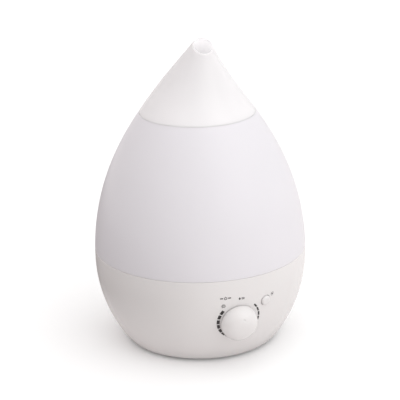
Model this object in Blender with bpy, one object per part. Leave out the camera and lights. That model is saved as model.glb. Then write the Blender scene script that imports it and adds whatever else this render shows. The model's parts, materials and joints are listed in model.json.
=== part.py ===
"""Cool mist humidifier: a teardrop water tank on a bowl-shaped ultrasonic base.

Lengths are in millimetres, and MM turns them into Blender's metres. Heights are measured from
the table. Everything is placed round the body's vertical axis, which stands AXIS_Y behind the
world origin, so that the origin is the middle of the whole footprint. The dial faces -Y.
"""

import math

import bmesh
import bpy
from mathutils import Matrix, Vector

MM = 0.001
GAP = 0.3                  # clearance between pieces that touch on the real object
CLEAR = 2.0                # how far a cutter reaches past what it cuts
SUNK = 0.7                 # how far a joined post reaches into the wall that it stands on

# Outline of the body
BODY_RADIUS = 102.5
WIDEST_Z = 86.0
BOWL_DEPTH = 120.0         # vertical half-axis of the bowl's ellipse
BOWL_FOOT_Z = 3.0
SHOULDER = ((102.5, 86.0), (102.5, 182.1), (45.3, 239.3), (17.9, 276.0))
BASE_RIM_Z = 92.5
TANK_FOOT_Z = 92.9
TANK_RIM_Z = 226.4
NOZZLE_FOOT_Z = 226.8
WALL = 2.4
KNOB_OVERHANG = 11.8       # how far the knob reaches past the widest part of the body
AXIS_Y = KNOB_OVERHANG / 2

# Sides of a round piece, by its size
LARGE, MEDIUM, ROUND, SMALL = 36, 20, 16, 10

# Nozzle: a cone that leans forward to a slanted round outlet
OUTLET_FORWARD = 18.4
OUTLET_Z = 293.3
OUTLET_RADIUS = 9.8
OUTLET_LIP = 1.3
OUTLET_ELEVATION = 50.8    # degrees above the horizon that the outlet faces
OUTLET_TAPER = -0.48       # radius lost per millimetre of path at the outlet
OUTLET_STRAIGHT = 4.0      # last stretch of the path, along the way the outlet faces
FOOT_STRAIGHT = 8.0        # first stretch of the path, upright
LEAN_GROWTH = 1.21         # how late along the path the cross-sections tilt
PATH_STEPS = 24
NOZZLE_FOOT_WALL = 4.2     # level width of the nozzle's foot, which tapers to the lip at the outlet
SKIRT_FOOT_Z = 221.9
SKIRT_INNER, SKIRT_OUTER, SKIRT_BEAD = 46.0, 48.3, 49.6
BEAD_HEIGHT = 1.1
NECK_RADIUS = 52.6
ROOF_LOW, ROOF_HIGH = 218.6, 221.0

# Mist chimney, on the body's axis
CHIMNEY_INNER, CHIMNEY_OUTER = 17.0, 19.2
CHIMNEY_FOOT_Z, CHIMNEY_TOP_Z = 84.0, 236.0

# Tank floor, and the filler neck with its cap and valve
FLOOR_LOW, FLOOR_HIGH = 96.0, 98.4
FILLER = (50.0, 28.0)
NECK_INNER, NECK_OUTER = 20.0, 22.6
NECK_FOOT_Z = 90.5
CAP_LOW, CAP_HIGH = 86.0, 88.4
CAP_RADIUS = 26.0
CAP_TOP_Z = 95.4
VALVE_TRAVEL = 4.0
STEM_RADIUS = 2.2
VALVE_FOOT_Z = 79.5
SPRING_WIRE, SPRING_RADIUS, SPRING_TURNS = 0.35, 3.5, 3

# Water tray
TRAY_RIM_LOW, TRAY_RIM_HIGH = 88.6, 91.0
TRAY_FLOOR_LOW, TRAY_FLOOR_HIGH = 74.0, 76.4
TRAY_WALL_RADIUS = 94.2
WELL_RADIUS = 20.0
WELL_LOW = 66.0
SOUNDER_HOLE = 8.5
LEDGE_LOW, LEDGE_HIGH, LEDGE_RADIUS = 84.3, 88.3, 94.5
FLOAT = (-48.0, 22.0)
FLOAT_POST_RADIUS, FLOAT_POST_TOP = 3.0, 92.6
VALVE_POST_RADIUS = 3.5
FAN = (0.0, 45.0)
COLLAR_INNER, COLLAR_OUTER = 9.0, 11.0
COLLAR_TOP_Z = 88.0
LIGHT = (2.0, -52.0)
LIGHT_RADIUS = 6.0

# Transducer under the tray's well
CLAMP_LOW, CLAMP_HIGH = 60.0, 61.9
CLAMP_SCREW_CIRCLE = 17.0

# Bottom cover and what stands on it
COVER_LOW, COVER_HIGH, COVER_RADIUS = 3.0, 5.5, 71.2
FOOT_RADIUS, FOOT_HEIGHT, FOOT_CIRCLE = 7.0, 3.7, 60.0
BOSS_CIRCLE, BOSS_RADIUS, BOSS_TOP_Z = 62.0, 4.2, 14.0
BOSS_AZIMUTHS = (13, 167, 247, 293)
BOARD = (0.0, -14.0)
BOARD_SIZE = (64.0, 42.0, 1.6)
BOARD_Z = 14.3
FAN_SIZE, FAN_LOW, FAN_HIGH = 40.0, 26.0, 36.0

# Front panel and rear inlet: heights on the bowl, and azimuths from the front, positive to +X
DIAL_Z = 48.9
KNOB_RADIUS, KNOB_HEIGHT = 17.8, 15.9
BUTTON_AZIMUTH, BUTTON_Z = 16.0, 65.2
LED_AZIMUTH, LED_Z = -8.8, 67.2
INLET_Z = 44.0
DIAL_BOSS_RADIUS = 12
DIAL_BOSS = (-5.8, -1.2)   # from its inner face to inside the wall, along the dial's axis
BUSH_RADIUS = 3.9
SHAFT_TOP = 12.0
DOME_SIDE, DOME_TOP = 0.8, 0.85     # powers that shape the knob's dome
BUTTON_RADIUS = 4.7
LED_RADIUS = 1.5
INLET_RADIUS = 5.2

# Screws: radius of the shank
COVER_SCREW = 1.5
THIN_SCREW = 1.2
TRAY_SCREW_CIRCLE = 97.3


# ---------------------------------------------------------------- outline of the body

def bezier(points, t):
    """The point at t of the Bezier curve with these control points."""
    points = [Vector(p) for p in points]
    while len(points) > 1:
        points = [a.lerp(b, t) for a, b in zip(points, points[1:])]
    return points[0]


def body_radius(z):
    """Outer radius of the body at height z, below the nozzle."""
    if z <= WIDEST_Z:
        return BODY_RADIUS * math.sqrt(1 - ((WIDEST_Z - z) / BOWL_DEPTH) ** 2)
    low, high = 0.0, 1.0
    for _ in range(40):
        middle = (low + high) / 2
        if bezier(SHOULDER, middle).y < z:
            low = middle
        else:
            high = middle
    return bezier(SHOULDER, low).x


def body_slope(z):
    """Radius gained per millimetre of height."""
    return body_radius(z + 0.5) - body_radius(z - 0.5)


def skin(z, inset=0.0):
    """Radius at height z of the surface that lies inset under the outer one."""
    return body_radius(z) - inset * math.hypot(1, body_slope(z))


def levels(low, high, count):
    return [low + (high - low) * i / (count - 1) for i in range(count)]


def panel_frame(azimuth, z):
    """A frame on the bowl: local Z points out along the surface normal, X to the right, Y up."""
    turn = math.radians(azimuth)
    tilt = math.atan(body_slope(z))
    out = Vector((math.sin(turn) * math.cos(tilt), -math.cos(turn) * math.cos(tilt), -math.sin(tilt)))
    right = Vector((math.cos(turn), math.sin(turn), 0))
    up = out.cross(right)
    radius = body_radius(z)
    frame = Matrix((right, up, out)).transposed().to_4x4()
    frame.translation = Vector((radius * math.sin(turn), -radius * math.cos(turn), z)) * MM
    return frame


def ring_places(circle, count, start=0.0):
    """Places at even angles round a circle on the body's axis."""
    angles = [math.radians(start + 360 * i / count) for i in range(count)]
    return [(circle * math.cos(a), circle * math.sin(a)) for a in angles]


# ---------------------------------------------------------------- making and joining meshes

def clear_scene():
    for obj in list(bpy.data.objects):
        bpy.data.objects.remove(obj, do_unlink=True)


def material(name, color, roughness, metallic=0.0, alpha=1.0):
    made = bpy.data.materials.get(name)
    if made:
        return made
    made = bpy.data.materials.new(name)
    made.use_nodes = True
    shader = made.node_tree.nodes["Principled BSDF"]
    shader.inputs["Base Color"].default_value = (*color, 1)
    shader.inputs["Roughness"].default_value = roughness
    shader.inputs["Metallic"].default_value = metallic
    shader.inputs["Alpha"].default_value = alpha
    made.diffuse_color = (*color, alpha)
    return made


FINISHES = {
    "white_gloss": ((0.86, 0.85, 0.84), 0.25),
    "tank_milky": ((0.88, 0.87, 0.91), 0.3, 0.0, 0.8),
    "white_inner": ((0.8, 0.8, 0.79), 0.45),
    "clear_lens": ((0.9, 0.92, 0.9), 0.1),
    "silicone": ((0.75, 0.76, 0.75), 0.6),
    "black_rubber": ((0.03, 0.03, 0.03), 0.8),
    "grey_foam": ((0.12, 0.12, 0.13), 0.95),
    "black_plastic": ((0.03, 0.03, 0.035), 0.5),
    "circuit_green": ((0.03, 0.2, 0.09), 0.5),
    "steel": ((0.62, 0.62, 0.63), 0.3, 1.0),
    "aluminium": ((0.78, 0.79, 0.8), 0.35, 1.0),
    "brass": ((0.78, 0.62, 0.32), 0.3, 1.0),
    "wire_red": ((0.5, 0.03, 0.03), 0.5),
}


def add_object(name, mesh, finish, frame=None):
    """Links an object that stands on the body's axis, or in frame. A helper has no finish."""
    obj = bpy.data.objects.new(name, mesh)
    bpy.context.scene.collection.objects.link(obj)
    obj.parent = bpy.data.objects["body_axis"]
    if frame is not None:
        obj.matrix_local = frame
    if finish is None:
        obj.hide_render = True
        obj.display_type = "WIRE"
    else:
        mesh.materials.append(material(finish, *FINISHES[finish]))
    return obj


def mesh_from(bm, name):
    bmesh.ops.remove_doubles(bm, verts=bm.verts, dist=1e-7)
    bmesh.ops.recalc_face_normals(bm, faces=bm.faces)
    mesh = bpy.data.meshes.new(name)
    bm.to_mesh(mesh)
    bm.free()
    mesh.shade_smooth()
    mesh.set_sharp_from_angle(angle=math.radians(35))
    return mesh


def turned(name, outline, sides, finish, place=(0.0, 0.0), frame=None):
    """A solid of revolution about local Z through place. An outline that starts and ends on the
    axis is open; any other closes on itself."""
    bm = bmesh.new()
    verts = [bm.verts.new((r * MM, 0, z * MM)) for r, z in outline]
    edges = [bm.edges.new(pair) for pair in zip(verts, verts[1:])]
    if outline[0][0] or outline[-1][0]:
        edges.append(bm.edges.new((verts[-1], verts[0])))
    bmesh.ops.spin(bm, geom=verts + edges, axis=(0, 0, 1), cent=(0, 0, 0), angle=math.tau,
                   steps=sides, use_merge=True)
    bmesh.ops.translate(bm, verts=bm.verts, vec=(place[0] * MM, place[1] * MM, 0))
    return add_object(name, mesh_from(bm, name), finish, frame)


def rod(name, radius, low, high, sides, finish, place=(0.0, 0.0), frame=None):
    outline = [(0, low), (radius, low), (radius, high), (0, high)]
    return turned(name, outline, sides, finish, place, frame)


def ring(name, inner, outer, low, high, sides, finish, place=(0.0, 0.0), frame=None):
    outline = [(outer, low), (outer, high), (inner, high), (inner, low)]
    return turned(name, outline, sides, finish, place, frame)


def block(name, low, high, finish, frame=None, turn=0.0):
    """A box between two corners, turned about local Z by turn degrees."""
    bm = bmesh.new()
    size = [(b - a) * MM for a, b in zip(low, high)]
    middle = [(a + b) / 2 * MM for a, b in zip(low, high)]
    bmesh.ops.create_cube(bm, size=1)
    bmesh.ops.scale(bm, vec=size, verts=bm.verts)
    bmesh.ops.translate(bm, vec=middle, verts=bm.verts)
    bmesh.ops.rotate(bm, verts=bm.verts, matrix=Matrix.Rotation(math.radians(turn), 3, "Z"))
    return add_object(name, mesh_from(bm, name), finish, frame)


def extruded(name, outline, low, high, finish, place=(0.0, 0.0), frame=None):
    """A flat outline in local X and Y, extruded along Z."""
    bm = bmesh.new()
    corners = [bm.verts.new(((x + place[0]) * MM, (y + place[1]) * MM, low * MM)) for x, y in outline]
    base = bm.faces.new(corners)
    moved = bmesh.ops.extrude_face_region(bm, geom=[base])["geom"]
    tops = [item for item in moved if isinstance(item, bmesh.types.BMVert)]
    bmesh.ops.translate(bm, verts=tops, vec=(0, 0, (high - low) * MM))
    return add_object(name, mesh_from(bm, name), finish, frame)


def change(obj, operation, *helpers):
    for helper in helpers:
        modifier = obj.modifiers.new(f"{operation}_{helper.name}", "BOOLEAN")
        modifier.operation = operation
        modifier.object = helper


def cut(obj, *helpers):
    change(obj, "DIFFERENCE", *helpers)


def join(obj, *helpers):
    change(obj, "UNION", *helpers)


def tube(name, route, radius, finish):
    """A lead along a smooth curve through the route's points."""
    curve = bpy.data.curves.new(name, "CURVE")
    curve.dimensions = "3D"
    curve.resolution_u = 3
    curve.bevel_depth = radius * MM
    curve.bevel_resolution = 1
    curve.use_fill_caps = True
    spline = curve.splines.new("BEZIER")
    spline.bezier_points.add(len(route) - 1)
    for point, place in zip(spline.bezier_points, route):
        point.co = Vector(place) * MM
        point.handle_left_type = point.handle_right_type = "AUTO"
    return add_object(name, curve, finish)


# ---------------------------------------------------------------- nozzle

def nozzle_section(u, inset):
    """The nozzle's cross-section at u, from 0 at its foot to 1 at the outlet, as a ring of points."""
    elevation = math.radians(OUTLET_ELEVATION)
    outlet = Vector((OUTLET_FORWARD, OUTLET_Z))
    approach = outlet - OUTLET_STRAIGHT * Vector((math.cos(elevation), math.sin(elevation)))
    path = ((0, NOZZLE_FOOT_Z), (0, NOZZLE_FOOT_Z + FOOT_STRAIGHT), approach, outlet)
    steps = [bezier(path, i / PATH_STEPS) for i in range(PATH_STEPS + 1)]
    runs = [(b - a).length for a, b in zip(steps, steps[1:])]
    length = sum(runs)
    walked, t = 0.0, 1.0
    for i, run in enumerate(runs):
        if walked + run >= u * length:
            t = (i + (u * length - walked) / run) / PATH_STEPS
            break
        walked += run
    centre = bezier(path, min(t, 1.0))
    start, foot_slope = body_radius(NOZZLE_FOOT_Z), body_slope(NOZZLE_FOOT_Z)
    radius = (
        (2 * u**3 - 3 * u**2 + 1) * start + (u**3 - 2 * u**2 + u) * length * foot_slope
        + (3 * u**2 - 2 * u**3) * OUTLET_RADIUS + (u**3 - u**2) * length * OUTLET_TAPER
    )
    radius -= inset
    lean = math.pi / 2 + (elevation - math.pi / 2) * u**LEAN_GROWTH
    across = Vector((0, math.sin(lean), math.cos(lean)))
    middle = Vector((0, -centre.x, centre.y))
    points = []
    for i in range(LARGE):
        angle = math.tau * i / LARGE
        points.append(middle + radius * (math.cos(angle) * Vector((1, 0, 0)) + math.sin(angle) * across))
    return points


def level_section(radius, z):
    angles = [math.tau * i / LARGE for i in range(LARGE)]
    return [Vector((radius * math.cos(a), radius * math.sin(a), z)) for a in angles]


def nozzle_cap():
    """Outer skin up to the outlet, then the inner skin down to the foot, where the collar sits."""
    outer = [nozzle_section(u, 0) for u in levels(0, 1, 8)]
    inner = [nozzle_section(u, OUTLET_LIP * u + NOZZLE_FOOT_WALL * (1 - u)) for u in levels(1, 0, 7)]
    bm = bmesh.new()
    sections = [[bm.verts.new(p * MM) for p in section] for section in outer + inner]
    for a, b in zip(sections, sections[1:] + sections[:1]):
        for i in range(LARGE):
            j = (i + 1) % LARGE
            bm.faces.new((a[i], a[j], b[j], b[i]))
    add_object("nozzle_cap", mesh_from(bm, "nozzle_cap"), "white_gloss")


def nozzle_collar():
    """The skirt that plugs into the tank's neck, with a flange inside the nozzle's foot."""
    flange = body_radius(NOZZLE_FOOT_Z) - NOZZLE_FOOT_WALL - GAP
    flange_slope, flange_top = 1.6, NOZZLE_FOOT_Z + 1.8
    bead_top = SKIRT_FOOT_Z + BEAD_HEIGHT
    turned("nozzle_collar", [
        (SKIRT_INNER, SKIRT_FOOT_Z), (SKIRT_BEAD, SKIRT_FOOT_Z), (SKIRT_BEAD, bead_top),
        (SKIRT_OUTER, bead_top), (SKIRT_OUTER, NOZZLE_FOOT_Z), (flange, NOZZLE_FOOT_Z),
        (flange - flange_slope, flange_top), (SKIRT_INNER, flange_top),
    ], LARGE, "white_gloss")


def nozzle_seal_ring():
    ring("nozzle_seal_ring", SKIRT_OUTER + GAP, NECK_RADIUS - GAP, SKIRT_FOOT_Z + BEAD_HEIGHT + GAP,
         NOZZLE_FOOT_Z - GAP, LARGE, "silicone")


# ---------------------------------------------------------------- tank

def tank_shell():
    """The wall, and the roof that closes it round the chimney, with the nozzle's neck above."""
    outer = [(skin(z), z) for z in levels(TANK_FOOT_Z, TANK_RIM_Z, 8)]
    inner = [(skin(z, WALL), z) for z in levels(ROOF_LOW, TANK_FOOT_Z, 6)]
    hole = CHIMNEY_OUTER + GAP
    roof = [(NECK_RADIUS, TANK_RIM_Z), (NECK_RADIUS, ROOF_HIGH), (hole, ROOF_HIGH), (hole, ROOF_LOW)]
    turned("tank_shell", outer + roof + inner, LARGE, "tank_milky")


def tank_floor():
    """A disc with an upturned edge that is welded inside the wall, and the filler's neck under it."""
    edge_top, edge_thick = FLOOR_HIGH + 4, 2
    facet_gap = GAP + 0.1              # the wall's flat sides lie a little inside its circle
    edge_low = skin(FLOOR_LOW, WALL) - facet_gap
    edge_high = skin(edge_top, WALL) - facet_gap
    hole = CHIMNEY_OUTER + GAP
    floor = turned("tank_floor", [
        (hole, FLOOR_LOW), (edge_low, FLOOR_LOW), (edge_high, edge_top), (edge_high - edge_thick, edge_top),
        (edge_high - edge_thick, FLOOR_HIGH), (hole, FLOOR_HIGH),
    ], LARGE, "tank_milky")
    rough_bore, sunk = NECK_INNER - 0.5, 0.8
    join(floor, ring("filler_neck", rough_bore, NECK_OUTER, NECK_FOOT_Z, FLOOR_LOW + sunk, MEDIUM, None,
                     FILLER))
    cut(floor, rod("filler_hole", NECK_INNER, NECK_FOOT_Z - CLEAR, FLOOR_HIGH + CLEAR, MEDIUM, None, FILLER))


def mist_chimney():
    """The tube that carries the mist up through the tank, with a flange on the tank's floor."""
    flange, flange_low = 24, FLOOR_HIGH + GAP
    flange_high = flange_low + 2
    turned("mist_chimney", [
        (CHIMNEY_OUTER, CHIMNEY_FOOT_Z), (CHIMNEY_OUTER, flange_low), (flange, flange_low),
        (flange, flange_high), (CHIMNEY_OUTER, flange_high), (CHIMNEY_OUTER, CHIMNEY_TOP_Z),
        (CHIMNEY_INNER, CHIMNEY_TOP_Z), (CHIMNEY_INNER, CHIMNEY_FOOT_Z),
    ], MEDIUM, "tank_milky")


def tank_cap():
    """Filler cap: a cup with a valve seat in its floor, three water slots and two finger ribs."""
    wall = NECK_OUTER + 0.4
    cap = turned("tank_cap", [
        (STEM_RADIUS + GAP, CAP_LOW), (CAP_RADIUS, CAP_LOW), (CAP_RADIUS, CAP_TOP_Z),
        (wall, CAP_TOP_Z), (wall, CAP_HIGH), (STEM_RADIUS + GAP, CAP_HIGH),
    ], MEDIUM, "white_inner", FILLER)
    slots, slot_inner, slot_outer, slot_span = 3, 5.0, 8.4, 84
    for i in range(slots):
        first = 360 * i / slots + 30 - slot_span / 2
        angles = [math.radians(first + slot_span * step / 4) for step in range(5)]
        outline = [(slot_outer * math.cos(a), slot_outer * math.sin(a)) for a in angles]
        outline += [(slot_inner * math.cos(a), slot_inner * math.sin(a)) for a in reversed(angles)]
        cut(cap, extruded(f"water_slot_{i}", outline, CAP_LOW - CLEAR, CAP_HIGH + CLEAR, None, FILLER))
    rib_near, rib_far, rib_half, rib_drop, rib_sunk = 11.0, 24.5, 1.6, 3.4, 0.8
    for side in (-1, 1):
        near, far = sorted((side * rib_near, side * rib_far))
        join(cap, block(f"finger_rib_{side}", (FILLER[0] + near, FILLER[1] - rib_half, CAP_LOW - rib_drop),
                        (FILLER[0] + far, FILLER[1] + rib_half, CAP_LOW + rib_sunk), None))


def filler_valve():
    """The valve as it stands with the tank on its base: held open by the tray's post."""
    foot, foot_high = 4.2, VALVE_FOOT_Z + 1.7
    seal_low, seal_inner, seal_outer, seal_thick = CAP_HIGH + GAP + VALVE_TRAVEL, 9.0, 11.4, 1.5
    head, head_thick = 12.0, 1.5
    hub_low, head_low = seal_low + GAP, seal_low + seal_thick + GAP
    turned("valve_plunger", [
        (0, VALVE_FOOT_Z), (foot, VALVE_FOOT_Z), (foot, foot_high), (STEM_RADIUS, foot_high),
        (STEM_RADIUS, hub_low), (seal_inner, hub_low), (seal_inner, head_low), (head, head_low),
        (head, head_low + head_thick), (0, head_low + head_thick),
    ], ROUND, "white_inner", FILLER)
    ring("valve_seal", seal_inner + GAP, seal_outer, seal_low, seal_low + seal_thick, ROUND, "silicone",
         FILLER)
    ring("cap_gasket", NECK_INNER - 0.3, NECK_OUTER + 0.1, CAP_HIGH + GAP, NECK_FOOT_Z - GAP, MEDIUM,
         "silicone", FILLER)
    valve_spring(foot_high + GAP + SPRING_WIRE, CAP_LOW - GAP - SPRING_WIRE)


def valve_spring(low, high):
    """The coil between the valve's foot and the cap, its wire's centre line from low to high."""
    steps = 10 * SPRING_TURNS
    curve = bpy.data.curves.new("valve_spring", "CURVE")
    curve.dimensions = "3D"
    curve.bevel_depth = SPRING_WIRE * MM
    curve.bevel_resolution = 1
    curve.use_fill_caps = True
    spline = curve.splines.new("POLY")
    spline.points.add(steps)
    for i, point in enumerate(spline.points):
        angle = math.tau * SPRING_TURNS * i / steps
        x = FILLER[0] + SPRING_RADIUS * math.cos(angle)
        y = FILLER[1] + SPRING_RADIUS * math.sin(angle)
        point.co = (x * MM, y * MM, (low + (high - low) * i / steps) * MM, 1)
    add_object("valve_spring", curve, "steel")


# ---------------------------------------------------------------- base

def base_shell():
    """The bowl: a ledge for the tray, screw bosses for the cover, and the panel's openings."""
    outer = [(skin(z), z) for z in levels(BOWL_FOOT_Z, WIDEST_Z, 7)] + [(skin(BASE_RIM_Z), BASE_RIM_Z)]
    rim = skin(BASE_RIM_Z, WALL)
    lip = COVER_RADIUS + GAP
    lip_top, wall_foot = 6.0, 8
    inner = [(skin(z, WALL), z) for z in levels(LEDGE_LOW, wall_foot, 5)]
    outline = outer + [(rim, BASE_RIM_Z), (rim, LEDGE_HIGH), (LEDGE_RADIUS, LEDGE_HIGH),
                       (LEDGE_RADIUS, LEDGE_LOW)] + inner + [(lip, lip_top), (lip, BOWL_FOOT_Z)]
    shell = turned("base_shell", outline, LARGE, "white_gloss")
    dial, button, led = dial_frame(), button_frame(), panel_frame(LED_AZIMUTH, LED_Z)
    join(shell, rod("dial_boss", DIAL_BOSS_RADIUS, *DIAL_BOSS, MEDIUM, None, frame=dial))
    rib_half, rib_low, rib_out = 1.3, 9, 78
    for i, (azimuth, place) in enumerate(zip(BOSS_AZIMUTHS, boss_places())):
        join(shell, block(f"boss_rib_{i}", (BOSS_CIRCLE, -rib_half, rib_low),
                          (rib_out, rib_half, BOSS_TOP_Z - 1.4), None, turn=azimuth))
        join(shell, rod(f"boss_{i}", BOSS_RADIUS, COVER_HIGH + GAP, BOSS_TOP_Z, SMALL, None, place))
        cut(shell, rod(f"boss_hole_{i}", COVER_SCREW + GAP, 0, BOSS_TOP_Z - 1.5, SMALL, None, place))
    for i, place in enumerate(tray_screw_places()):
        cut(shell, rod(f"ledge_hole_{i}", THIN_SCREW + GAP, LEDGE_LOW - CLEAR, LEDGE_HIGH + CLEAR, SMALL,
                       None, place))
    cut(shell, rod("dial_hole", BUSH_RADIUS + 0.4, -12, 6, MEDIUM, None, frame=dial))
    cut(shell, rod("button_hole", BUTTON_RADIUS + 0.4, -8, 6, MEDIUM, None, frame=button))
    cut(shell, rod("led_hole", LED_RADIUS + 0.4, -8, 6, SMALL, None, frame=led))
    cut(shell, rod("inlet_hole", INLET_RADIUS + GAP, -9, 9, MEDIUM, None, frame=inlet_frame()))


def boss_places():
    angles = [math.radians(azimuth) for azimuth in BOSS_AZIMUTHS]
    return [(BOSS_CIRCLE * math.cos(a), BOSS_CIRCLE * math.sin(a)) for a in angles]


def dial_frame():
    return panel_frame(0, DIAL_Z)


def button_frame():
    return panel_frame(BUTTON_AZIMUTH, BUTTON_Z)


def inlet_frame():
    return panel_frame(180, INLET_Z)


def tray_screw_places():
    return ring_places(TRAY_SCREW_CIRCLE, 3, 35)


def water_tray():
    """A basin hung in the base's rim, with a sounding well under the chimney."""
    rim = skin(TRAY_RIM_HIGH, WALL) - GAP
    wall_lean, floor_in = 3, 2.0
    floor_out = TRAY_WALL_RADIUS - wall_lean
    well_floor = WELL_LOW + WALL
    tray = turned("water_tray", [
        (rim, TRAY_RIM_LOW), (rim, TRAY_RIM_HIGH), (TRAY_WALL_RADIUS - WALL, TRAY_RIM_HIGH),
        (floor_out - floor_in, TRAY_FLOOR_HIGH), (WELL_RADIUS, TRAY_FLOOR_HIGH),
        (WELL_RADIUS - WALL, well_floor), (SOUNDER_HOLE, well_floor), (SOUNDER_HOLE, WELL_LOW),
        (WELL_RADIUS + 1, WELL_LOW), (WELL_RADIUS + WALL, TRAY_FLOOR_LOW), (floor_out, TRAY_FLOOR_LOW),
        (TRAY_WALL_RADIUS, TRAY_RIM_LOW),
    ], LARGE, "white_inner")
    under, over = TRAY_FLOOR_LOW - CLEAR, TRAY_FLOOR_HIGH + CLEAR
    post_foot = TRAY_FLOOR_LOW + SUNK
    thin_hole = THIN_SCREW + GAP
    for i, place in enumerate(tray_screw_places()):
        cut(tray, rod(f"rim_hole_{i}", thin_hole, TRAY_RIM_LOW - CLEAR, TRAY_RIM_HIGH - 0.8, SMALL, None,
                      place))
    cut(tray, rod("light_hole", LIGHT_RADIUS + GAP, under, over, MEDIUM, None, LIGHT))
    join(tray, rod("valve_post", VALVE_POST_RADIUS, post_foot, VALVE_FOOT_Z - GAP, SMALL, None, FILLER))
    join(tray, rod("float_post", FLOAT_POST_RADIUS, post_foot, FLOAT_POST_TOP, SMALL, None, FLOAT))
    cut(tray, rod("duct_opening", (COLLAR_INNER + COLLAR_OUTER) / 2, under, over, MEDIUM, None, FAN))
    join(tray, ring("duct_collar", COLLAR_INNER, COLLAR_OUTER, TRAY_FLOOR_LOW - 4, COLLAR_TOP_Z, MEDIUM,
                    None, FAN))
    for i, place in enumerate(clamp_screw_places()):
        join(tray, rod(f"clamp_boss_{i}", 3.0, CLAMP_HIGH + GAP, WELL_LOW + 1.0, SMALL, None, place))
        cut(tray, rod(f"clamp_hole_{i}", thin_hole, CLAMP_LOW, WELL_LOW + 0.5, SMALL, None, place))


def clamp_screw_places():
    return ring_places(CLAMP_SCREW_CIRCLE, 3, 97)


def screw(name, place, head_low, head_high, tip, shank, head):
    """A pan-head screw driven upwards, with a cross recess left to its finish."""
    turned(name, [
        (0, head_low), (head * 0.7, head_low), (head, (head_low + head_high) / 2), (head, head_high),
        (shank, head_high), (shank, tip - shank), (0.3 * shank, tip), (0, tip),
    ], 10, "steel", place)


def transducer():
    """The piezo disc in its gasket, pressed against the well's floor by a brass clamp ring."""
    disc, disc_thick = 10.0, 0.8
    gasket_outer, gasket_inner, groove = 12.6, 9.0, disc + GAP
    foot, top = CLAMP_HIGH + GAP, WELL_LOW - GAP
    groove_top = top - 1.1
    groove_foot = groove_top - disc_thick - 2 * GAP
    rod("transducer_disc", disc, groove_foot + GAP, groove_top - GAP, MEDIUM, "aluminium")
    turned("transducer_gasket", [
        (gasket_outer, foot), (gasket_outer, top), (gasket_inner, top), (gasket_inner, groove_top),
        (groove, groove_top), (groove, groove_foot), (gasket_inner, groove_foot), (gasket_inner, foot),
    ], MEDIUM, "silicone")
    clamp_inner, clamp_outer, head, head_height = 7.0, 20.8, 2.6, 2
    clamp = ring("transducer_clamp", clamp_inner, clamp_outer, CLAMP_LOW, CLAMP_HIGH, MEDIUM, "brass")
    for i, place in enumerate(clamp_screw_places()):
        cut(clamp, rod(f"clamp_screw_hole_{i}", THIN_SCREW + GAP, CLAMP_LOW - CLEAR, CLAMP_HIGH + CLEAR,
                       SMALL, None, place))
        screw(f"clamp_screw_{i + 1}", place, CLAMP_LOW - head_height, CLAMP_LOW - GAP, WELL_LOW, THIN_SCREW,
              head)


def tray_screws():
    """Driven up through the bowl's ledge into the tray's rim."""
    head, head_height, tip = 2.3, 2, TRAY_RIM_HIGH - 1.2
    for i, place in enumerate(tray_screw_places()):
        screw(f"tray_screw_{i + 1}", place, LEDGE_LOW - head_height, LEDGE_LOW - GAP, tip, THIN_SCREW, head)


def float_and_sensor():
    """The low-water float on its post, the clip that keeps it there, and the sensor under the tray."""
    low, height, radius, bevel = TRAY_FLOOR_HIGH + GAP, 8, 12.0, 1
    high = low + height
    hole = FLOAT_POST_RADIUS + GAP
    turned("float_puck", [
        (hole, low), (radius - bevel, low), (radius, low + bevel), (radius, high - bevel),
        (radius - bevel, high), (hole, high),
    ], MEDIUM, "white_inner", FLOAT)
    clip_radius, clip_low, clip_high = 6.5, FLOAT_POST_TOP - 1.6, FLOAT_POST_TOP - 0.2
    ring("float_retainer", hole, clip_radius, clip_low, clip_high, SMALL, "steel", FLOAT)
    x, y, top = *FLOAT, TRAY_FLOOR_LOW - GAP
    length, width, thick = 16, 6, 3.5
    block("float_sensor", (x - length / 2, y - width / 2, top - thick), (x + length / 2, y + width / 2, top),
          "black_plastic")


def air_path():
    """Foam filter over the intake grille, the fan above it, and the duct up to the tray's collar."""
    x, y = FAN
    pad_x, pad_y, pad_top = 19, 17, 10.0
    block("intake_filter", (x - pad_x, y - pad_y, COVER_HIGH + GAP), (x + pad_x, y + pad_y, pad_top),
          "grey_foam")
    half, bore, seat = FAN_SIZE / 2, 18.6, 7.5
    housing = block("fan_housing", (x - half, y - half, FAN_LOW), (x + half, y + half, FAN_HIGH),
                    "black_plastic")
    cut(housing, rod("fan_bore", bore, FAN_LOW - CLEAR, FAN_HIGH + CLEAR, MEDIUM, None, FAN))
    join(housing, rod("fan_motor_seat", seat, FAN_LOW, FAN_LOW + 1.6, MEDIUM, None, FAN))
    arms, near, far = 3, seat - 1.5, bore + 0.6
    for i in range(arms):
        turn = Matrix.Rotation(math.tau * i / arms + math.radians(15), 2)
        arm = [turn @ Vector(corner) for corner in ((near, -1), (far, -1), (far, 1), (near, 1))]
        join(housing, extruded(f"fan_arm_{i}", arm, FAN_LOW + 0.1, FAN_LOW + 1.4, None, FAN))
    hub, blades = 8.0, 7
    impeller = rod("fan_impeller", hub, FAN_LOW + 2.0, FAN_HIGH - 0.6, MEDIUM, "black_plastic", FAN)
    for i in range(blades):
        join(impeller, fan_blade(f"fan_blade_{i}", 360 * i / blades))
    air_duct()


def air_duct():
    """A funnel from the fan's bore to a spigot inside the tray's air collar."""
    foot, flange_top, cone_top, spigot_foot, spigot_top = FAN_HIGH + GAP, FAN_HIGH + GAP + 2, 62, 66, 72
    turned("air_duct", [
        (19.6, foot), (19.6, flange_top), (18.6, flange_top), (9.6, cone_top), (8.6, spigot_foot),
        (8.6, spigot_top), (7.3, spigot_top), (7.3, spigot_foot), (8.2, cone_top), (16.8, flange_top),
        (17.6, foot),
    ], MEDIUM, "black_plastic", FAN)


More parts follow.
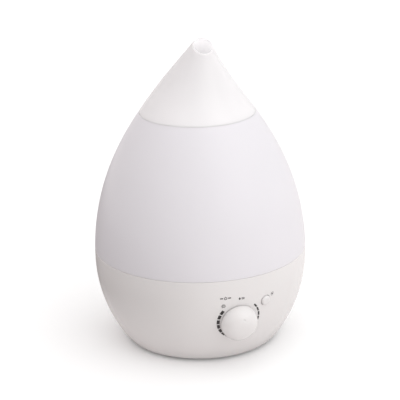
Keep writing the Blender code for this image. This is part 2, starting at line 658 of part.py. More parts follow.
def fan_blade(name, azimuth):
    """One pitched blade, from inside the hub to just short of the bore."""
    size = Vector((10.8, 9.0, 1.0))
    middle = Vector((12.4, 0, FAN_LOW + 5.6))
    pitch = 38
    bm = bmesh.new()
    bmesh.ops.create_cube(bm, size=1)
    bmesh.ops.scale(bm, vec=size * MM, verts=bm.verts)
    bmesh.ops.rotate(bm, verts=bm.verts, matrix=Matrix.Rotation(math.radians(pitch), 3, "X"))
    bmesh.ops.translate(bm, vec=middle * MM, verts=bm.verts)
    bmesh.ops.rotate(bm, verts=bm.verts, matrix=Matrix.Rotation(math.radians(azimuth), 3, "Z"))
    bmesh.ops.translate(bm, vec=(FAN[0] * MM, FAN[1] * MM, 0), verts=bm.verts)
    return add_object(name, mesh_from(bm, name), None)


def electronics():
    """Driver board on the cover's posts, with its heat sink."""
    x, y = BOARD
    length, width, thick = BOARD_SIZE
    low, high = BOARD_Z, BOARD_Z + thick
    solder = high - 0.5                # level from which a component stands in the board
    board = block("driver_board", (x - length / 2, y - width / 2, low), (x + length / 2, y + width / 2, high),
                  "circuit_green")
    join(board, block("choke", (x - 26, y - 16, solder), (x - 10, y - 2, high + 12), None))
    join(board, rod("capacitor", 5.0, solder, high + 13, SMALL, None, (x - 18, y + 10)))
    join(board, block("lead_header", (x - 4, y - 19, solder), (x + 8, y - 13, high + 6), None))
    sink_low, sink_height, sink_left, sink_right, sink_half = high + GAP, 16, x + 10, x + 28, 8
    sink = block("heat_sink", (sink_left, y - sink_half, sink_low),
                 (sink_right, y + sink_half, sink_low + sink_height), "aluminium")
    fin_pitch, fin_gap, back = 4.0, 2.4, 3
    for i in range(4):
        left = sink_left + 2 + fin_pitch * i
        cut(sink, block(f"fin_gap_{i}", (left, y - sink_half + back, sink_low - CLEAR),
                        (left + fin_gap, y + sink_half + CLEAR, sink_low + sink_height + CLEAR), None))
    night_light()


def night_light():
    """The lens in the tray's floor, and the board with three lamps under it."""
    lx, ly = LIGHT
    lens_top, flange_top = TRAY_FLOOR_HIGH, TRAY_FLOOR_LOW - GAP
    flange, flange_low, bevel = LIGHT_RADIUS + 2.4, flange_top - 2, 0.6
    turned("light_lens", [
        (0, flange_low), (flange, flange_low), (flange, flange_top), (LIGHT_RADIUS, flange_top),
        (LIGHT_RADIUS, lens_top - bevel), (LIGHT_RADIUS - bevel, lens_top), (0, lens_top),
    ], MEDIUM, "clear_lens", LIGHT)
    board_low, board_high, half_x, half_y = 64.0, 65.4, 13, 8
    light = block("light_board", (lx - half_x, ly - half_y, board_low), (lx + half_x, ly + half_y, board_high),
                  "circuit_green")
    lamp_foot, lamp_pitch = board_high - 0.4, 7
    lamp = [(0, lamp_foot), (0, 70.9), (1.4, 70.4), (2.4, 68.6), (2.4, lamp_foot)]
    for i in (-1, 0, 1):
        join(light, turned(f"light_led_{i}", lamp, SMALL, None, (lx + lamp_pitch * i, ly)))


def dial_works():
    """The potentiometer behind the panel, its nut and shaft, and the knob on it. Levels are along the
    dial's axis, from the bowl's surface outwards."""
    dial = dial_frame()
    can, back, front = 8.5, -16, DIAL_BOSS[0] - GAP
    bush_top, bore, bore_foot = 2.9, 2.9, -9
    pot = turned("potentiometer_body", [
        (0, back), (can, back), (can, front), (BUSH_RADIUS, front), (BUSH_RADIUS, bush_top),
        (bore, bush_top), (bore, bore_foot), (0, bore_foot),
    ], MEDIUM, "steel", frame=dial)
    join(pot, block("potentiometer_pins", (-6, -14, -13.5), (6, -6, -11.5), None, frame=dial))
    nut_radius, nut_low, nut_high = 6.9, 0.6, 2.5
    nut = extruded("potentiometer_nut", ring_places(nut_radius, 6), nut_low, nut_high, "brass", frame=dial)
    cut(nut, rod("nut_hole", BUSH_RADIUS + GAP, nut_low - CLEAR, nut_high + CLEAR, MEDIUM, None, frame=dial))
    rod("potentiometer_shaft", bore - GAP, bore_foot + 0.4, SHAFT_TOP, MEDIUM, "brass", frame=dial)
    knob(dial)


def knob(frame):
    """A domed knob, hollow behind, with a boss that takes the shaft."""
    dome = []
    for angle in levels(0, math.pi / 2, 8)[:-1]:
        dome.append((KNOB_RADIUS * math.cos(angle) ** DOME_SIDE, KNOB_HEIGHT * math.sin(angle) ** DOME_TOP))
    dome.append((0, KNOB_HEIGHT))
    bore, bore_top = 2.9, SHAFT_TOP + 0.4
    boss, boss_foot = 5.2, 3.0
    hollow = [(0, bore_top), (bore, bore_top), (bore, boss_foot), (boss, boss_foot), (boss, 12.1),
              (10.0, 11.0), (14.1, 6.8), (KNOB_RADIUS - 2.2, 0)]
    turned("knob", hollow + dome, MEDIUM, "white_gloss", frame=frame)


def light_button():
    """The night light's button, with its flange and stem, over a switch on a small board. Levels are
    along the button's axis, from the bowl's surface inwards."""
    button = button_frame()
    flange, flange_low, flange_high = BUTTON_RADIUS + 1.9, -4.8, -3.6
    stem, stem_foot = 1.8, -9.5
    turned("light_button", [
        (0, stem_foot), (stem, stem_foot), (stem, flange_low), (flange, flange_low), (flange, flange_high),
        (BUTTON_RADIUS, flange_high), (BUTTON_RADIUS, 0.6), (4.2, 1.5), (2.6, 2.2), (0, 2.5),
    ], MEDIUM, "white_gloss", frame=button)
    switch_low, switch_high, switch_half = -14.5, -11.4, 3
    switch = block("tact_switch", (-switch_half, -switch_half, switch_low),
                   (switch_half, switch_half, switch_high), "black_plastic", frame=button)
    join(switch, rod("switch_stem", 1.6, switch_high - 0.6, stem_foot - 1.5, SMALL, None, frame=button))
    board_high = switch_low - GAP
    block("switch_board", (-9, -6, board_high - 1.6), (9, 6, board_high), "circuit_green", frame=button)


def power_led():
    flange, flange_low, flange_high = 2.6, -7, -3.4
    turned("power_led", [
        (0, flange_low), (flange, flange_low), (flange, flange_high), (LED_RADIUS, flange_high),
        (LED_RADIUS, 0.0), (1.0, 0.5), (0, 0.7),
    ], SMALL, "clear_lens", frame=panel_frame(LED_AZIMUTH, LED_Z))


def dc_inlet():
    """The power socket at the back: a flanged barrel with a pin in the middle."""
    back, face, flange, flange_low = -13, 1.9, 7.4, GAP + 0.1
    bore, bore_foot, pin, pin_top = 3.2, -10, 1.0, 1.4
    turned("dc_inlet", [
        (0, back), (INLET_RADIUS, back), (INLET_RADIUS, flange_low), (flange, flange_low), (flange, face),
        (bore, face), (bore, bore_foot), (pin, bore_foot), (pin, pin_top - 0.4), (0, pin_top),
    ], MEDIUM, "black_plastic", frame=inlet_frame())


# ---------------------------------------------------------------- bottom

def bottom_cover():
    """The cover with its grille, feet and screws, and the posts that carry the driver board."""
    cover = rod("bottom_cover", COVER_RADIUS, COVER_LOW, COVER_HIGH, LARGE, "white_inner")
    x, y = FAN
    under, over = COVER_LOW - CLEAR, COVER_HIGH + CLEAR
    slot_half, slot_pitch, slot_width = 14, 6, 3.4
    for i in range(5):
        left = x - slot_half + slot_pitch * i
        cut(cover, block(f"grille_slot_{i}", (left, y - slot_half, under),
                         (left + slot_width, y + slot_half, over), None))
    for i, place in enumerate(ring_places(FOOT_CIRCLE, 4, 45)):
        cut(cover, rod(f"foot_recess_{i}", FOOT_RADIUS + GAP, under, FOOT_HEIGHT + GAP, ROUND, None, place))
        rod(f"foot_{i + 1}", FOOT_RADIUS, 0, FOOT_HEIGHT, ROUND, "black_rubber", place)
    head, head_low, head_high = 3.2, 2.4, 3.9
    for i, place in enumerate(boss_places()):
        cut(cover, rod(f"cover_hole_{i}", COVER_SCREW + GAP, under, over, SMALL, None, place))
        cut(cover, rod(f"cover_counterbore_{i}", head + 0.4, under, head_high + GAP, SMALL, None, place))
        screw(f"cover_screw_{i + 1}", place, head_low, head_high, BOSS_TOP_Z - 2, COVER_SCREW, head)
    margin, post = 4, 3.0
    length, width = BOARD_SIZE[0] / 2 - margin, BOARD_SIZE[1] / 2 - margin
    for i, (sx, sy) in enumerate(((-1, -1), (1, -1), (-1, 1), (1, 1))):
        place = (BOARD[0] + sx * length, BOARD[1] + sy * width)
        join(cover, rod(f"board_post_{i}", post, COVER_HIGH - 1, BOARD_Z - GAP, SMALL, None, place))


def leads():
    """Insulated leads inside the base, each from the driver board to what it feeds."""
    tube("inlet_lead", [(4, 80, 37), (20, 72, 26), (29, 50, 17), (28, 24, 15), (14, 13, 20)], 1.3,
         "black_rubber")
    tube("transducer_lead", [(-6, -8, 34), (-9, -10, 42), (-7, -7, 52), (-2, -2, 60)], 1.0, "wire_red")
    tube("dial_lead", [(2, -38, 25), (3, -50, 30), (2, -60, 36), (0, -70, 38)], 1.0, "wire_red")
    tube("fan_lead", [(-30, 45, 33), (-33, 30, 28), (-34, 16, 22), (-33, 6, 19)], 1.0, "black_rubber")


def main():
    clear_scene()
    axis = bpy.data.objects.new("body_axis", None)
    axis.location = (0, AXIS_Y * MM, 0)
    bpy.context.scene.collection.objects.link(axis)
    nozzle_cap()
    nozzle_collar()
    nozzle_seal_ring()
    tank_shell()
    tank_floor()
    mist_chimney()
    tank_cap()
    filler_valve()
    base_shell()
    water_tray()
    transducer()
    tray_screws()
    float_and_sensor()
    air_path()
    electronics()
    dial_works()
    light_button()
    power_led()
    dc_inlet()
    bottom_cover()
    leads()


main()
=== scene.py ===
"""Looks of a teardrop cool mist humidifier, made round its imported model.

Lengths are in millimetres and MM turns them into metres. Heights are measured from the table, and
places from the body's own vertical axis. The dial faces -Y. Each piece is the finished form of a
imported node: it keeps its size, adds rounded edges and fine detail, and rides on its body.
"""

import json
import math

import bmesh
import bpy
from mathutils import Matrix, Vector


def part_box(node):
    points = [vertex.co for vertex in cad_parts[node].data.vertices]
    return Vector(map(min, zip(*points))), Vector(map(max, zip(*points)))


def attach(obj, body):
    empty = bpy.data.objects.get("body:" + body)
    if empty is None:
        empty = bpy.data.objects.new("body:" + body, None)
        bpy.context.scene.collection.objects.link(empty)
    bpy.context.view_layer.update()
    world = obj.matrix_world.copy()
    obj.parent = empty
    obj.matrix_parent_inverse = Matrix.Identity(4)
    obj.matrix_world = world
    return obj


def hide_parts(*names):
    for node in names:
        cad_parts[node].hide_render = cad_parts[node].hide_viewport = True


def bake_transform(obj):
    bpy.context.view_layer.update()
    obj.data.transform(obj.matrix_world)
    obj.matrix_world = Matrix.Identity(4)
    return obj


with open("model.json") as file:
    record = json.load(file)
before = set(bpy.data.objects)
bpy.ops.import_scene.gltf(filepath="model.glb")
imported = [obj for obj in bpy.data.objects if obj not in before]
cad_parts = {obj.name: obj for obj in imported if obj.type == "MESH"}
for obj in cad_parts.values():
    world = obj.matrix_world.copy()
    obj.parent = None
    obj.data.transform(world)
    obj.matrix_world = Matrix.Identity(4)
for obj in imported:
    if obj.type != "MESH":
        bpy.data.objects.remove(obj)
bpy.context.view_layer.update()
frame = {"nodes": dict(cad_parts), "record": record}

MM = 0.001
GAP = 0.3  # clearance between two pieces

# Outline of the body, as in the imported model
BODY_RADIUS = 102.5
WIDEST_Z = 86.0
BOWL_DEPTH = 120.0  # lower half-axis of the ellipse that the bowl follows
BOWL_FOOT_Z = 3.0
SHOULDER = ((102.5, 86.0), (102.5, 182.1), (45.3, 239.3), (17.9, 276.0))
BASE_RIM_Z = 92.5
TANK_FOOT_Z = 92.9
TANK_RIM_Z = 226.4
NOZZLE_FOOT_Z = 226.8
WALL = 2.4
NECK_RADIUS = 52.6
ROOF_LOW, ROOF_HIGH = 218.6, 221.0
CHIMNEY_INNER, CHIMNEY_OUTER = 17.0, 19.2
CHIMNEY_HOLE = CHIMNEY_OUTER + GAP
FLOOR_RIM = 4.0  # height of the rim round the tank's floor
LEDGE_LOW, LEDGE_HIGH, LEDGE_RADIUS = 84.3, 88.3, 94.5

# Nozzle, whose centre line bends from the body's axis to the outlet
OUTLET_FORWARD = 18.4
OUTLET_Z = 293.3
OUTLET_RADIUS = 9.8
OUTLET_LIP = 1.3  # wall at the outlet
OUTLET_ELEVATION = 50.8  # degrees above level of the way that it points
OUTLET_TAPER = -0.48  # how the radius changes along the centre line there
FOOT_REACH, OUTLET_REACH = 8, 4  # how far the centre line keeps its way at either end
NOZZLE_FOOT_WALL = 4.2
LEAN_GROWTH = 1.21  # power by which the cross-sections lean over along the length
LIP_ROUND = 0.62
PAINTED_GLOW_FROM = 0.58  # share of the nozzle's length beyond which its wall is thin, and its inner side takes a painted glow
SEAM, NOZZLE_SEAM = 0.12, 0.04  # what shows of the clearance over the base, and over the tank
SEAM_ROUND = 0.08  # rounding of the edges on either side of the upper seam
SKIRT_INNER, SKIRT_OUTER, SKIRT_BEAD = 46.0, 48.3, 49.6

# Places on the front panel and the back
DIAL_Z = 48.9
KNOB_RADIUS, KNOB_HEIGHT = 17.8, 15.9
DOME_SIDE, DOME_TOP = 0.8, 0.85  # powers that shape the knob's dome
BUTTON_AZIMUTH, BUTTON_Z = 16.0, 65.2
LED_AZIMUTH, LED_Z = -8.8, 67.2
INLET_Z = 44.0

# Screws
SCREW_HOLE, COVER_HOLE = 1.5, 1.8
CORNER_SCREWS = range(1, 5)
RING_SCREWS = range(1, 4)

# Sides of a round piece, by its size, and faces along the other way
HUGE, LARGE, MEDIUM, SMALL = 192, 96, 48, 24
WALL_ROWS, INNER_ROWS = 64, 56
BOWL_ROWS, BOWL_INNER_ROWS, DOME_ROWS = 56, 40, 41
NOZZLE_ROWS, NOZZLE_INNER_ROWS, PATH_STEPS = 48, 36, 96
CORNER_STEPS = 5  # faces in each rounded corner
SHARP = math.radians(32)


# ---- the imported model

RECORD = frame["record"]
BODY_OF = {node: body for body, nodes in RECORD["behaviour"]["bodies"].items() for node in nodes}
SLOT_OF = {part["node"]: part["material_slot"] for part in RECORD["subparts"]}


def middle(node):
    """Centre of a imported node's box, in metres."""
    low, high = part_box(node)
    return (low + high) / 2


AXIS = Matrix.Translation((0, middle("tank_shell").y, 0))


def place_of(node):
    """Middle of a node in plan, in millimetres from the body's axis."""
    centre = middle(node) - AXIS.translation
    return centre.x / MM, centre.y / MM


def heights(node):
    """Lowest and highest level of a node, in millimetres."""
    low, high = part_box(node)
    return low.z / MM, high.z / MM


def stand_for(obj, node):
    """The piece replaces the node and rides on its body. If it has no material of its own, it takes the
    node's."""
    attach(obj, BODY_OF[node])
    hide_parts(node)
    if not any(obj.data.materials):
        paint(obj.data, node)


def add_detail(obj, node):
    """The piece is a detail on a node: it rides with it, and the node stays as it is."""
    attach(obj, BODY_OF[node])


# ---- outline of the body

def bezier(points, t):
    """Point at t of the curve that these control points give."""
    points = [Vector(p) for p in points]
    while len(points) > 1:
        points = [a.lerp(b, t) for a, b in zip(points, points[1:])]
    return points[0]


def body_radius(z):
    """Outer radius of the body at height z, below the nozzle."""
    if z <= WIDEST_Z:
        return BODY_RADIUS * math.sqrt(1 - ((WIDEST_Z - z) / BOWL_DEPTH) ** 2)
    low, high = 0.0, 1.0
    for _ in range(40):
        half = (low + high) / 2
        if bezier(SHOULDER, half).y < z:
            low = half
        else:
            high = half
    return bezier(SHOULDER, low).x


def body_slope(z):
    """Change of the outer radius for each millimetre of height."""
    return body_radius(z + 0.5) - body_radius(z - 0.5)


def skin(z, inset=0.0):
    """Radius at height z of the surface that lies inset under the outer one."""
    return body_radius(z) - inset * math.hypot(1, body_slope(z))


def levels(low, high, count):
    """Evenly spaced values from low to high, both included."""
    return [low + (high - low) * i / (count - 1) for i in range(count)]


def panel_frame(azimuth, z):
    """A frame on the bowl: local Z points out along the surface normal, X to the right, Y up."""
    turn = math.radians(azimuth)
    tilt = math.atan(body_slope(z))
    out = Vector((math.sin(turn) * math.cos(tilt), -math.cos(turn) * math.cos(tilt), -math.sin(tilt)))
    right = Vector((math.cos(turn), math.sin(turn), 0))
    up = out.cross(right)
    radius = body_radius(z)
    made = Matrix((right, up, out)).transposed().to_4x4()
    made.translation = Vector((radius * math.sin(turn), -radius * math.cos(turn), z)) * MM
    return AXIS @ made


def around(place, radius, angle):
    return place[0] + radius * math.cos(angle), place[1] + radius * math.sin(angle)


# ---- making meshes

def rounded(outline, closed):
    """The outline with an arc in place of each corner that carries a radius as its third number."""
    count = len(outline)
    most = 0.48  # share of an edge that one corner may take
    made = []
    for i, corner in enumerate(outline):
        at = Vector(corner[:2])
        inside = closed or 0 < i < count - 1
        if len(corner) < 3 or not corner[2] or not inside:
            made.append(tuple(at))
            continue
        before = Vector(outline[i - 1][:2]) - at
        after = Vector(outline[(i + 1) % count][:2]) - at
        angle = before.angle(after)
        reach = min(corner[2] / math.tan(angle / 2), most * before.length, most * after.length)
        radius = reach * math.tan(angle / 2)
        before, after = before.normalized(), after.normalized()
        centre = at + (before + after).normalized() * (radius / math.sin(angle / 2))
        first, last = at + before * reach - centre, at + after * reach - centre
        sweep = first.angle_signed(last)
        for step in range(CORNER_STEPS + 1):
            turn = Matrix.Rotation(-sweep * step / CORNER_STEPS, 2)
            made.append(tuple(centre + turn @ first))
    return made


def add_object(name, data):
    obj = bpy.data.objects.new(name, data)
    bpy.context.scene.collection.objects.link(obj)
    return obj


def evaluated_mesh(obj):
    graph = bpy.context.evaluated_depsgraph_get()
    return bpy.data.meshes.new_from_object(obj.evaluated_get(graph), depsgraph=graph)


def add_mesh(name, bm, transform=AXIS, material=None):
    """Puts the mesh in the scene: smooth, with sharp edges, and moved from its own frame to its place."""
    bmesh.ops.remove_doubles(bm, verts=bm.verts, dist=1e-7)
    bmesh.ops.recalc_face_normals(bm, faces=bm.faces)
    mesh = bpy.data.meshes.new(name)
    bm.to_mesh(mesh)
    bm.free()
    mesh.transform(transform)
    mesh.shade_smooth()
    mesh.set_sharp_from_angle(angle=SHARP)
    if material:
        mesh.materials.append(material)
    return add_object(name, mesh)


def bridge(bm, rings, closed):
    """Faces between neighbouring rings of corners, any of which may be a single point."""
    for a, b in zip(rings, rings[1:] + rings[:1] if closed else rings[1:]):
        count = max(len(a), len(b))
        for i in range(count):
            j = (i + 1) % count
            if len(a) < len(b):
                bm.faces.new((a[0], b[i], b[j]))
            elif len(a) > len(b):
                bm.faces.new((a[i], a[j], b[0]))
            elif count > 1:
                bm.faces.new((a[i], a[j], b[j], b[i]))


def lathe(name, outline, sides, place=(0.0, 0.0), transform=AXIS, flutes=None):
    """A solid of revolution about local Z through place, its corners rounded as the outline says.
    flutes = (count, depth, radius) presses grip flutes into what lies outside that radius."""
    closed = bool(outline[0][0] or outline[-1][0])
    bm = bmesh.new()
    rings = []
    for r, z in rounded(outline, closed):
        ring = []
        for i in range(sides if r else 1):
            angle = math.tau * i / sides
            reach = r
            if flutes and r > flutes[2]:
                reach -= flutes[1] * (0.5 - 0.5 * math.cos(flutes[0] * angle)) ** 3
            x, y = around(place, reach, angle)
            ring.append(bm.verts.new((x * MM, y * MM, z * MM)))
        rings.append(ring)
    bridge(bm, rings, closed)
    return add_mesh(name, bm, transform)


def rod(name, radius, low, high, sides, place=(0.0, 0.0), transform=AXIS, edge=0.3):
    outline = [(0, low), (radius, low, edge), (radius, high, edge), (0, high)]
    return lathe(name, outline, sides, place, transform)


def ring(name, inner, outer, low, high, sides, place=(0.0, 0.0), edge=0.3):
    outline = [(outer, low, edge), (outer, high, edge), (inner, high, edge), (inner, low, edge)]
    return lathe(name, outline, sides, place)


def turn_node(node, name, outline, sides, place=(0.0, 0.0), transform=AXIS):
    """A turned piece that stands for a node as it is."""
    stand_for(lathe(name, outline, sides, place, transform), node)


def box_mesh(size, centre, edge, segments):
    """A box in metres with rounded edges."""
    bm = bmesh.new()
    bmesh.ops.create_cube(bm, size=1)
    bmesh.ops.scale(bm, vec=size, verts=bm.verts)
    bmesh.ops.translate(bm, vec=centre, verts=bm.verts)
    if edge:
        bmesh.ops.bevel(bm, geom=bm.edges[:], offset=edge * MM, segments=segments, affect="EDGES",
                        profile=0.5)
    return bm


def block(name, low, high, edge=0.4, transform=AXIS, turn=0.0):
    """A box between two corners, then turned about local Z."""
    size = [(b - a) * MM for a, b in zip(low, high)]
    centre = [(a + b) / 2 * MM for a, b in zip(low, high)]
    bm = box_mesh(size, centre, edge, 3)
    bmesh.ops.rotate(bm, verts=bm.verts, matrix=Matrix.Rotation(math.radians(turn), 3, "Z"))
    return add_mesh(name, bm, transform)


def prism(name, outline, low, high):
    """A flat outline in local X and Y, extruded along Z."""
    bm = bmesh.new()
    corners = [bm.verts.new((x * MM, y * MM, low * MM)) for x, y in outline]
    base = bm.faces.new(corners)
    moved = bmesh.ops.extrude_face_region(bm, geom=[base])["geom"]
    tops = [item for item in moved if isinstance(item, bmesh.types.BMVert)]
    bmesh.ops.translate(bm, verts=tops, vec=(0, 0, (high - low) * MM))
    return add_mesh(name, bm)


def settle(obj, operation, *helpers):
    """Applies Booleans with these helpers, and removes the helpers."""
    for helper in helpers:
        modifier = obj.modifiers.new(helper.name, "BOOLEAN")
        modifier.operation = operation
        modifier.object = helper
    mesh = evaluated_mesh(obj)
    mesh.name = obj.name
    obj.modifiers.clear()
    obj.data = mesh
    for helper in helpers:
        bpy.data.objects.remove(helper, do_unlink=True)
    mesh.shade_smooth()
    mesh.set_sharp_from_angle(angle=SHARP)


def cut(obj, *helpers):
    settle(obj, "DIFFERENCE", *helpers)


def join(obj, *helpers):
    settle(obj, "UNION", *helpers)


def drill(obj, name, radius, low, high, sides, *places):
    """Cuts upright round holes through what lies between low and high."""
    cut(obj, *[rod(name, radius, low, high, sides, place, edge=0) for place in places])


def true_skin(obj):
    """Gives the outer skin its exact normals, which the long faces round a hole would bend."""
    near, alike = 0.06, 0.98  # distance from the skin, and the cosine between a face and the skin
    mesh = obj.data
    normals = [Vector(corner.vector) for corner in mesh.corner_normals]
    for polygon in mesh.polygons:
        for loop in polygon.loop_indices:
            point = (mesh.vertices[mesh.loops[loop].vertex_index].co - AXIS.translation) / MM
            radius = math.hypot(point.x, point.y)
            if not BOWL_FOOT_Z < point.z < TANK_RIM_Z or abs(radius - body_radius(point.z)) > near:
                continue
            exact = Vector((point.x / radius, point.y / radius, -body_slope(point.z))).normalized()
            if exact.dot(polygon.normal) > alike:
                normals[loop] = exact
    mesh.normals_split_custom_set(normals)


# ---- materials

def add_node(tree, kind, sockets=None, **settings):
    """Adds a shader node with these settings. sockets gives its inputs, by name or number, each as a
    value or as the output that it is linked to."""
    node = tree.nodes.new("ShaderNode" + kind)
    for name, value in settings.items():
        setattr(node, name, value)
    for key, value in (sockets or {}).items():
        if isinstance(value, bpy.types.NodeSocket):
            tree.links.new(value, node.inputs[key])
        else:
            node.inputs[key].default_value = value
    return node


NOISE_MIDDLE = (0.3, 0.7)  # the part of a noise's values that is spread over the whole range


def remap(tree, source, start, end, low=0.0, high=1.0, **settings):
    """A value that goes from low to high as the source goes from start to end."""
    return add_node(tree, "MapRange", {
        "From Min": start, "From Max": end, "To Min": low, "To Max": high, "Value": source,
    }, **settings).outputs["Result"]


def blend_colors(tree, first, second, factor):
    mix = add_node(tree, "Mix", {"A": first, "B": second, "Factor": factor}, data_type="RGBA")
    return mix.outputs["Result"]


def add_relief(tree, height, strength, depth):
    """Bumps the principled surface by this height, depth being its size in millimetres."""
    bump = add_node(tree, "Bump", {"Strength": strength, "Distance": depth * MM, "Height": height})
    tree.links.new(bump.outputs["Normal"], tree.nodes["Principled BSDF"].inputs["Normal"])


def finish(name, color, roughness, patch=0.0, patch_scale=14.0, spread=0.04, spread_scale=90.0,
           bump=0.0, bump_scale=900.0, bump_depth=0.05, **sockets):
    """A moulded or machined surface: patch varies its shade, spread its roughness, and bump its relief,
    each by noise at its own scale in the piece's own space. sockets sets the shader's other values."""
    made = bpy.data.materials.new(name)
    made.use_nodes = True
    made.diffuse_color = (*color, 1)
    tree = made.node_tree
    shader = tree.nodes["Principled BSDF"]
    for socket, value in sockets.items():
        shader.inputs[socket.replace("_", " ")].default_value = value
    place = add_node(tree, "TexCoord").outputs["Object"]

    def noise(scale, detail):
        node = add_node(tree, "TexNoise", {"Scale": scale, "Detail": detail, "Vector": place})
        return node.outputs["Fac"]

    paler = (*[min(1.0, c * (1 + patch)) for c in color], 1)
    darker = (*[c * (1 - patch) for c in color], 1)
    shade = blend_colors(tree, paler, darker, remap(tree, noise(patch_scale, 3), *NOISE_MIDDLE))
    tree.links.new(shade, shader.inputs["Base Color"])
    least, most = max(0.02, roughness - spread), min(1.0, roughness + spread)
    rough = remap(tree, noise(spread_scale, 4), *NOISE_MIDDLE, least, most)
    tree.links.new(rough, shader.inputs["Roughness"])
    if bump:
        add_relief(tree, noise(bump_scale, 2), bump, bump_depth)
    return made


def circuit_material():
    """Green solder mask with paler copper tracks under it."""
    made = finish("circuit_green", (0.03, 0.2, 0.09), 0.38, patch=0.12, patch_scale=60, spread=0.06)
    tree = made.node_tree
    tracks = add_node(tree, "TexBrick", {
        "Scale": 140, "Mortar Size": 0.09, "Color1": (0.025, 0.19, 0.08, 1),
        "Color2": (0.03, 0.22, 0.1, 1), "Mortar": (0.07, 0.36, 0.17, 1),
        "Vector": add_node(tree, "TexCoord").outputs["Object"],
    })
    tree.links.new(tracks.outputs["Color"], tree.nodes["Principled BSDF"].inputs["Base Color"])
    return made


def foam_material():
    """Open-cell foam: paler walls, with painted shade darkening the pores that the same pattern sinks as
    relief.
    """
    made = finish("grey_foam", (0.12, 0.12, 0.13), 0.95, patch=0.1, spread=0.04)
    tree = made.node_tree
    place = add_node(tree, "TexCoord").outputs["Object"]
    pores = add_node(tree, "TexVoronoi", {"Scale": 900, "Vector": place}).outputs["Distance"]
    # painted shade: the ramp darkens the sunk hollows of the pores
    painted_pore_shade = add_node(tree, "ValToRGB", {"Fac": pores})
    painted_pore_shade.color_ramp.elements[0].color = (0.02, 0.02, 0.022, 1)
    painted_pore_shade.color_ramp.elements[1].color = (0.17, 0.17, 0.18, 1)
    painted_pore_shade.color_ramp.elements[1].position = 0.45
    tree.links.new(painted_pore_shade.outputs["Color"], tree.nodes["Principled BSDF"].inputs["Base Color"])
    add_relief(tree, pores, 0.9, 0.4)
    return made


def glow(weight, scale, radius=(1.0, 1.0, 1.0)):
    """How far light goes under a surface."""
    return {"Subsurface_Weight": weight, "Subsurface_Scale": scale, "Subsurface_Radius": radius}


PAINTED_THROUGH_GLOW = 0.42  # strength of a painted glow: emission that stands in for daylight shining through the thin wall round the outlet

MOULDED = dict(patch=0.012, spread=0.035, bump=0.12, bump_scale=420, bump_depth=0.02)

# Colour, roughness and detail of each finish
FINISHES = {
    "white_gloss": ((0.77, 0.75, 0.745), 0.16, MOULDED | glow(0.1, 0.003, (1.0, 0.9, 0.85))),
    "white_thin": ((0.825, 0.808, 0.818), 0.2, MOULDED | glow(0.5, 0.004)),
    # painted light: a glowing white whose emission stands in for daylight through the outlet's thin wall
    "white_painted_glow": ((0.88, 0.865, 0.87), 0.35, dict(
        patch=0.012, spread=0.05, Emission_Color=(1.0, 0.985, 0.99, 1.0), Emission_Strength=PAINTED_THROUGH_GLOW)),
    "tank_milky": ((0.84, 0.82, 0.855), 0.32, dict(
        patch=0.012, patch_scale=9, spread=0.04, bump=0.15, bump_scale=300, bump_depth=0.03,
        Transmission_Weight=0.1, IOR=1.49, **glow(0.15, 0.004))),
    "white_inner": ((0.8, 0.8, 0.79), 0.42, dict(patch=0.02, bump=0.3, bump_scale=1500)),
    "clear_lens": ((0.8, 0.82, 0.8), 0.3, dict(patch=0.02, spread=0.08, Transmission_Weight=0.5, IOR=1.5)),
    "power_lens": ((0.52, 0.51, 0.5), 0.25, dict(
        patch=0.05, spread=0.05, Transmission_Weight=0.2, IOR=1.5)),
    "silicone": ((0.72, 0.73, 0.72), 0.55, dict(patch=0.03, bump=0.3, bump_scale=700, **glow(0.2, 0.003))),
    "black_rubber": ((0.03, 0.03, 0.031), 0.78, dict(
        patch=0.35, patch_scale=260, spread=0.1, bump=0.6, bump_scale=1800, bump_depth=0.08)),
    "black_plastic": ((0.03, 0.03, 0.034), 0.45, dict(
        patch=0.15, patch_scale=120, spread=0.08, bump=0.4, bump_scale=2400, bump_depth=0.03)),
    "steel": ((0.6, 0.6, 0.61), 0.28, dict(
        patch=0.06, patch_scale=300, spread=0.08, bump=0.2, bump_scale=1600, bump_depth=0.02,
        Metallic=1.0, Anisotropic=0.4)),
    "aluminium": ((0.78, 0.79, 0.8), 0.32, dict(
        patch=0.05, patch_scale=200, spread=0.07, bump=0.2, bump_scale=2200, bump_depth=0.02,
        Metallic=1.0, Anisotropic=0.5)),
    "brass": ((0.78, 0.62, 0.32), 0.28, dict(
        patch=0.08, patch_scale=150, spread=0.08, bump=0.15, bump_scale=1400, bump_depth=0.02,
        Metallic=1.0)),
    "wire_red": ((0.5, 0.03, 0.03), 0.42, dict(
        patch=0.1, patch_scale=200, spread=0.06, bump=0.3, bump_scale=1500)),
    "print_dark": ((0.028, 0.024, 0.024), 0.5, dict(patch=0.25, patch_scale=400, spread=0.08)),
    "print_grey": ((0.07, 0.066, 0.066), 0.5, dict(patch=0.2, patch_scale=400, spread=0.08)),
}
MATERIALS = {
    name: finish(name, color, roughness, **detail) for name, (color, roughness, detail) in FINISHES.items()
}
MATERIALS["grey_foam"] = foam_material()
MATERIALS["circuit_green"] = circuit_material()


def paint(mesh, node):
    """The mesh takes the node's material, and no other."""
    mesh.materials.clear()
    mesh.materials.append(MATERIALS[SLOT_OF[node]])


# ---- nozzle

OUTLET_TURN = math.radians(OUTLET_ELEVATION)
OUTLET_WAY = Vector((math.cos(OUTLET_TURN), math.sin(OUTLET_TURN)))
OUTLET = Vector((OUTLET_FORWARD, OUTLET_Z))
NOZZLE_PATH = (
    (0, NOZZLE_FOOT_Z), (0, NOZZLE_FOOT_Z + FOOT_REACH), OUTLET - OUTLET_REACH * OUTLET_WAY, OUTLET,
)
NOZZLE_STEPS = [bezier(NOZZLE_PATH, i / PATH_STEPS) for i in range(PATH_STEPS + 1)]
NOZZLE_LENGTH = sum((b - a).length for a, b in zip(NOZZLE_STEPS, NOZZLE_STEPS[1:]))


